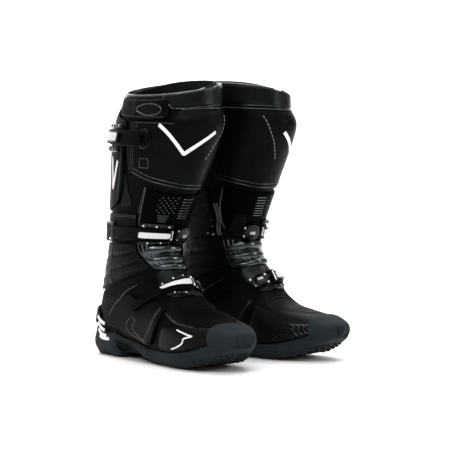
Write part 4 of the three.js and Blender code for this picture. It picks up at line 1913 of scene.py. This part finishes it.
    def calf(self) -> None:
        """The calf plate, the lower outer block, the tendon plate, mesh and the inner grip."""
        out = L.plate_out
        calf = Plate(
            (103, 101, 98, 96, 98), (226, 228, 226, 222, 218),
            (1.92, 1.8, 1.2, 1.12, 1.12, 1.15, 1.3), (4.62, 4.78, 4.95, 5.0, 5.0),
            L.gap * 1.5, out, 70, 76, 1.8, 12.0,
        )
        self.add("calf_plate_shell", calf.shape(), SHELL, "shaft", "calf_plate")
        spine = [line_bead([(1.5, v), (2.6, v), (3.8, v + (2 if v > 180 else -2)), (4.8, v)], out, 2.0, 1.1)
                 for v in (166, 194)]
        spine.append(line_bead([(1.95, 106), (2.6, 104), (3.4, 101), (4.5, 101)], out - 0.3, 1.3, 1.0))
        self.add("calf_ribs", spine, GLOSS, "shaft")
        mesh = Plate((93, 88, 76), (97, 95.5, 97), (3.72, 3.7), (4.62, 4.7), 0.3, 1.3, 40, 30, 0.8, 6.0)
        self.add("side_mesh", mesh.shape(), VENT_MESH, "shaft")
        panel = Plate(
            (66, 64, 63, 62), (139, 140, 141, 142),
            (4.86, 4.86, 4.88, 5.05), (5.92, 5.92, 5.9, 5.86),
            L.gap, L.thin_out, 50, 90, 1.4, 10.0,
        )
        self.add("side_panel_shell", panel.shape(), SHELL, "shaft", "side_panel")
        seam = [
            stitches([(4.94, 66), (4.95, 90), (5.0, 118)], L.thin_out),
            stitches([(4.99, 66), (5.0, 90), (5.05, 118)], L.thin_out),
        ]
        self.add("side_panel_stitches", seam, THREAD, "shaft")
        tendon = Plate((146, 146, 148), (214, 214, 212), (5.12, 5.16, 5.12), (5.88, 5.9, 5.88),
                       L.gap, out, 40, 70, 1.6)
        self.add("tendon_plate", tendon.shape(), SHELL, "shaft", "tendon_guard")
        grip = Plate((232, 233, 232, 228, 226), (260, 260, 262, 276, 286), 1.2, 5.8,
                     L.wrap_in, L.thin_out, 76, 36, 1.2)
        self.add("grip_rubber_panel", grip.shape(), GRIP, "shaft", "grip_panel")
        wave = [(4.6, -74), (5.1, -66), (5.6, -65), (5.88, -62)]
        bands = [line_bead([(s, v - 4 * k) for s, v in wave], 0.0, 3.2, 1.8) for k in range(2)]
        self.add("inner_wave_band", bands, GLOSS, "shaft")
        rivets = [stud(s, v, 0.0, 1.6, 1.2) for s, v in ((5.5, -78), (5.8, -84), (5.85, -75), (5.2, -80))]
        self.add("inner_rivets", rivets, METAL, "shaft")

    def marks(self) -> None:
        """A plain pale chevron on the shin plate, the calf plate and the toe guard."""
        out = L.plate_out
        for name, keys, face, width, steps, body in (
            ("shin_mark", [(2.05, 62), (3.05, 24), (2.25, -8)], out, 5.0, 60, "shaft"),
            ("calf_mark", [(3.25, 121), (4.15, 114), (3.35, 106)], out, 4.2, 40, "shaft"),
            ("toe_mark", [(14.1, 98), (15.35, 85), (14.5, 74)], L.thin_out, 2.0, 40, "foot"),
        ):
            mark = line_bead(keys, face + 0.05, width, 0.6, Section2D.FLAT, False, steps)
            self.add(name, mark, WHITE, body)


@dataclass(frozen=True)
class Closure:
    """One strap with its lever and its catch; the line holds (around, station, half)."""

    name: str
    anchor: float
    free: float
    lever_tip: float
    lever_hinge: float
    catch_from: float
    catch_to: float
    seat: float
    body: str
    disc: float
    line: tuple[tuple[float, float, float], ...]

    def at(self, around: Array) -> tuple[Array, Array]:
        """Station of the strap's middle and its half width, at an angle.

        Args:
            around: angles, in degrees.

        Returns:
            The stations and the half widths.
        """
        keys = np.array(self.line)
        return np.interp(around, keys[:, 0], keys[:, 1]), np.interp(around, keys[:, 0], keys[:, 2])

    def plate(
        self,
        start: float,
        end: float,
        low: float,
        high: float,
        head: float,
        foot: float,
        **more: Union[float, Relief],
    ) -> Plate:
        """A plate along the strap's line.

        Args:
            start: angle of its first end.
            end: angle of its other end.
            low: height of its underside.
            high: height of its face.
            head: its upper side, as a share of the strap's half width.
            foot: its lower side, as such a share.
            more: the other values of a Plate.

        Returns:
            The plate.
        """
        middle, half = self.at(np.linspace(start, end, 9))
        return Plate(start, end, tuple(middle + half * head), tuple(middle + half * foot), low, high, **more)

    def spot(self, around: float, share: float) -> tuple[float, float]:
        """Station and angle of a spot beside the strap's middle.

        Args:
            around: its angle.
            share: its place, as a share of the half width.

        Returns:
            Its station and angle.
        """
        middle, half = self.at(np.array(around))
        return float(middle + half * share), around


SEAT = L.plate_out + L.gap * 0.8
CLOSURES = (
    Closure("top", 68, 140, 104, 139, 146, 168, SEAT, "shaft", 0.0, ((0, 2.62, 0.27), (180, 2.62, 0.27))),
    Closure("middle", 122, 4, 54, 5, -2, -28, SEAT, "shaft", 12.0, ((-60, 5.63, 0.27), (180, 5.63, 0.27))),
    Closure("lower", 80, -6, 38, -5, -12, -38, L.gap, "foot", 9.5,
            ((-40, 10.6, 0.95), (0, 10.75, 1.0), (38, 10.6, 0.62), (60, 10.35, 0.42), (82, 10.15, 0.33))),
)


@dataclass
class Buckles(Part):
    """The three closures of one boot."""

    def build(self) -> None:
        """Straps, levers and catches with their small parts."""
        for c in CLOSURES:
            strap = c.plate(
                c.anchor, c.free, L.strap_in, L.strap_out, -1, 1, rows=24, columns=110, rim=1.0, corner=9.0
            )
            self.add(f"{c.name}_strap_band", strap.shape(), SHELL, f"{c.name}_strap", f"{c.name}_strap")
            self.lever(c)
            self.catch(c)
            self.frame(c)
        top = CLOSURES[0]
        spot = top.spot(top.anchor + 7.5, 0)
        boss = [stud(*spot, L.strap_out - 1.2, r, h) for r, h in ((6.5, 1.9), (3.4, 2.4))]
        self.add("top_strap_boss", boss, DARK_SHELL_AND_RECESS_SHADE, "top_strap")
        self.add("top_strap_seat", stud(*spot, L.plate_out, 14.0, 0.8), BUCKLE, "shaft")
        middle = CLOSURES[1]
        ring = [middle.spot(v, k) for v, k in ((103, -1.35), (103, 1.35), (121, 1.35), (121, -1.35))]
        keeper = line_bead(ring, L.strap_out - 2.0, 3.0, 3.2, Section2D.ROUND, False, 72, True)
        self.add("middle_strap_keeper", keeper, GLOSS, "shaft")

    def lever(self, c: Closure) -> None:
        """A lever with a pale label let into its back and a hinge pin."""
        body = c.plate(
            c.lever_tip, c.lever_hinge, L.lever_in, L.lever_out, -0.62, 0.62,
            rows=26, columns=60, rim=1.3, corner=7.0,
        )
        step = math.copysign(1.6, c.lever_hinge - c.lever_tip)
        label = c.plate(c.lever_tip + step, c.lever_hinge - step * 2, L.lever_out - 0.8, L.lever_out + 0.35,
                        -0.5, 0.5, rows=20, columns=50, rim=0.5, corner=10.0)
        self.add(f"{c.name}_lever_body", body.shape(), BUCKLE, f"{c.name}_lever", f"{c.name}_lever")
        self.add(f"{c.name}_lever_label", label.shape(), LABEL, f"{c.name}_lever")
        hinge = c.lever_hinge - step * 0.4
        ends = [c.spot(hinge, -0.85), c.spot(hinge, 0.85)]
        pin = line_bead(ends, L.lever_in + 1.4, 2.6, 2.4, Section2D.ROUND, False, 12)
        self.add(f"{c.name}_lever_pin", pin, METAL, f"{c.name}_lever")

    def catch(self, c: Closure) -> None:
        """The block that takes the lever, with a round turned cover and screws."""

        def ridge(t: Array, a: Array) -> Array:
            """Eight fine ridges across the block."""
            return 0.5 * np.sin(math.pi * 8 * t) ** 2

        block = c.plate(c.catch_from, c.catch_to, c.seat, c.seat + L.catch, -1.05, 1.05,
                        rows=40, columns=50, rim=1.8, corner=4.5, relief=ridge)
        self.add(f"{c.name}_catch_body", block.shape(), BUCKLE, c.body, f"{c.name}_catch")
        middle = (c.catch_from + c.catch_to) / 2
        high = c.seat + L.catch
        if c.disc:
            spot = c.spot(middle + 1, 0)
            rings = [stud(*spot, high, r * c.disc, h) for r, h in ((1, 2.4), (0.8, 3.0), (0.55, 3.2))]
            self.add(f"{c.name}_cover", rings, BUCKLE, c.body)
            bars = []
            for share in (-0.2, 0.0, 0.2):
                ends = [c.spot(middle - 3, share), c.spot(middle + 5, share)]
                bars.append(line_bead(ends, high + 3.1, 1.2, 0.7, Section2D.FLAT, False, 8))
            self.add(f"{c.name}_cover_bars", bars, METAL, c.body)
        screws = [stud(*c.spot(v, k), high - 0.4, 1.7, 1.2)
                  for v in (c.catch_from - 2.5, c.catch_to + 3) for k in (-0.78, 0.78)]
        self.add(f"{c.name}_catch_screws", screws, METAL, c.body)

    def frame(self, c: Closure) -> None:
        """Toothed rails above and below the lever, with bright rivets."""
        base = L.plate_out if c.seat > 2 else 0.4
        start, end = c.lever_tip, c.lever_hinge

        def teeth(t: Array, a: Array) -> Array:
            """Five rounded teeth along a rail."""
            return 1.1 * np.abs(np.sin(math.pi * 5 * a)) ** 0.6

        rails = []
        for height, head, foot in ((4.4, -1.75, -1.14), (3.4, 1.14, 1.8)):
            rail = c.plate(
                start, end, base, base + height, head, foot,
                rows=16, columns=90, rim=1.4, corner=6.0, relief=teeth,
            )
            rails.append(rail.shape())
        self.add(f"{c.name}_buckle_frame", rails, BUCKLE, c.body)
        span = end - start
        rivets = [stud(*c.spot(start + span * k, -1.45), base + 4.6, 1.5, 1.3) for k in (0.12, 0.5, 0.86)]
        rivets += [stud(*c.spot(start + span * k, 1.48), base + 3.6, 1.3, 1.1) for k in (0.3, 0.7)]
        self.add(f"{c.name}_frame_rivets", rivets, METAL, c.body)


# ---- the room -------------------------------------------------------------------------------------


@dataclass
class Studio:
    """Floor, lights and camera."""

    azimuth: float = -41.3
    elevation: float = 2.46
    distance: float = 2.45
    lens: float = 138.376
    aim_right: float = 0.019263
    aim_down: float = 0.012323
    target: tuple[float, float, float] = (0.0, 0.0063, 0.2)
    sensor: float = 36.0
    world_strength: float = 0.3

    def build(self) -> None:
        """Everything around the object."""
        self.floor()
        self.lights()
        self.camera()

    def floor(self) -> None:
        """A pale floor that curves up into a backdrop: a quarter circle joins the two."""
        bend = 1.5
        back = 2.2
        x = np.linspace(-6, 6, 3)
        turn = np.linspace(0, math.pi / 2, 24)
        y = np.concatenate([[-8.0], back + bend * np.sin(turn), [back + bend]])
        z = np.concatenate([[0.0], bend - bend * np.cos(turn), [6.0]])
        a = math.radians(self.azimuth)
        gx, gy = np.meshgrid(x, y, indexing="ij")
        gz = np.repeat(z[None, :], len(x), 0)
        points = np.stack([gx * math.cos(a) - gy * math.sin(a), gx * math.sin(a) + gy * math.cos(a), gz], -1)
        mesh = bpy.data.meshes.new("floor")
        mesh.from_pydata(points.reshape(-1, 3).tolist(), [], grid_faces(*gx.shape).tolist())
        for polygon in mesh.polygons:
            polygon.use_smooth = True
        obj = bpy.data.objects.new("floor", mesh)
        bpy.context.scene.collection.objects.link(obj)
        graph = Graph("studio_floor")
        speck = graph.noise(graph.coordinates(), 3.0, 3.0)
        graph.feed(Base_Color=graph.mix(speck, (0.9, 0.9, 0.9, 1), (0.93, 0.93, 0.93, 1)), Roughness=0.7)
        mesh.materials.append(graph.material)

    def lights(self) -> None:
        """Three soft lights on the object, one each on floor and backdrop, and a pale world."""
        world = bpy.data.worlds.new("studio_world")
        bpy.context.scene.world = world
        world.use_nodes = True
        back = world.node_tree.nodes["Background"]
        back.inputs["Color"].default_value = (1, 1, 1, 1)
        back.inputs["Strength"].default_value = self.world_strength
        a = math.radians(self.azimuth)
        for name, place, aim, size, power in (
            ("key", (-1.1, -1.5, 1.5), (0.0, 0.0, 0.2), 0.7, 17.0),
            ("side", (2.0, -0.5, 1.0), (0.0, 0.0, 0.2), 0.6, 13.0),
            ("top", (0.0, 0.2, 2.6), (0.0, 0.0, 0.0), 2.6, 55.0),
            ("front_floor", (0.0, -2.4, 2.6), (0.0, -1.2, 0.0), 2.4, 45.0),
            ("backdrop", (0.0, 1.4, 2.6), (0.0, 3.6, 0.6), 3.0, 150.0),
        ):
            place, aim = (
                Vector((x * math.cos(a) - y * math.sin(a), x * math.sin(a) + y * math.cos(a), z))
                for x, y, z in (place, aim)
            )
            data = bpy.data.lights.new(name, "AREA")
            data.size, data.energy = size, power
            lamp = bpy.data.objects.new(name, data)
            lamp.location = place
            lamp.rotation_mode = "QUATERNION"
            lamp.rotation_quaternion = (aim - place).to_track_quat("-Z", "Y")
            bpy.context.scene.collection.objects.link(lamp)

    def camera(self) -> None:
        """The camera, aimed a little to the right of the target and below it."""
        a, e = math.radians(self.azimuth), math.radians(self.elevation)
        back = np.array([math.sin(a) * math.cos(e), -math.cos(a) * math.cos(e), math.sin(e)])
        right = np.array([math.cos(a), math.sin(a), 0.0])
        up = np.cross(right, -back)
        target = np.array(self.target)
        place = target + back * self.distance
        aim = target + right * self.aim_right - up * self.aim_down
        data = bpy.data.cameras.new("camera")
        data.sensor_width = self.sensor
        data.lens = self.lens
        data.clip_end = 100.0
        camera = bpy.data.objects.new("camera", data)
        camera.location = Vector(place)
        camera.rotation_mode = "QUATERNION"
        camera.rotation_quaternion = Vector(aim - place).to_track_quat("-Z", "Y")
        bpy.context.scene.collection.objects.link(camera)
        bpy.context.scene.camera = camera
        bpy.context.scene.view_settings.view_transform = "Standard"


def main() -> None:
    """Builds the boots and the room."""
    logging.basicConfig(level=logging.INFO, format="%(message)s")
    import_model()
    Studio().build()
    for side in Side:
        for kind in (Sole, Foot, Ankle, Leg, Buckles):
            part = kind(side)
            part.build()
            for name in part.made:
                LOG.info("%s: %s", kind.__name__, name)


if __name__ == "__main__":
    main()
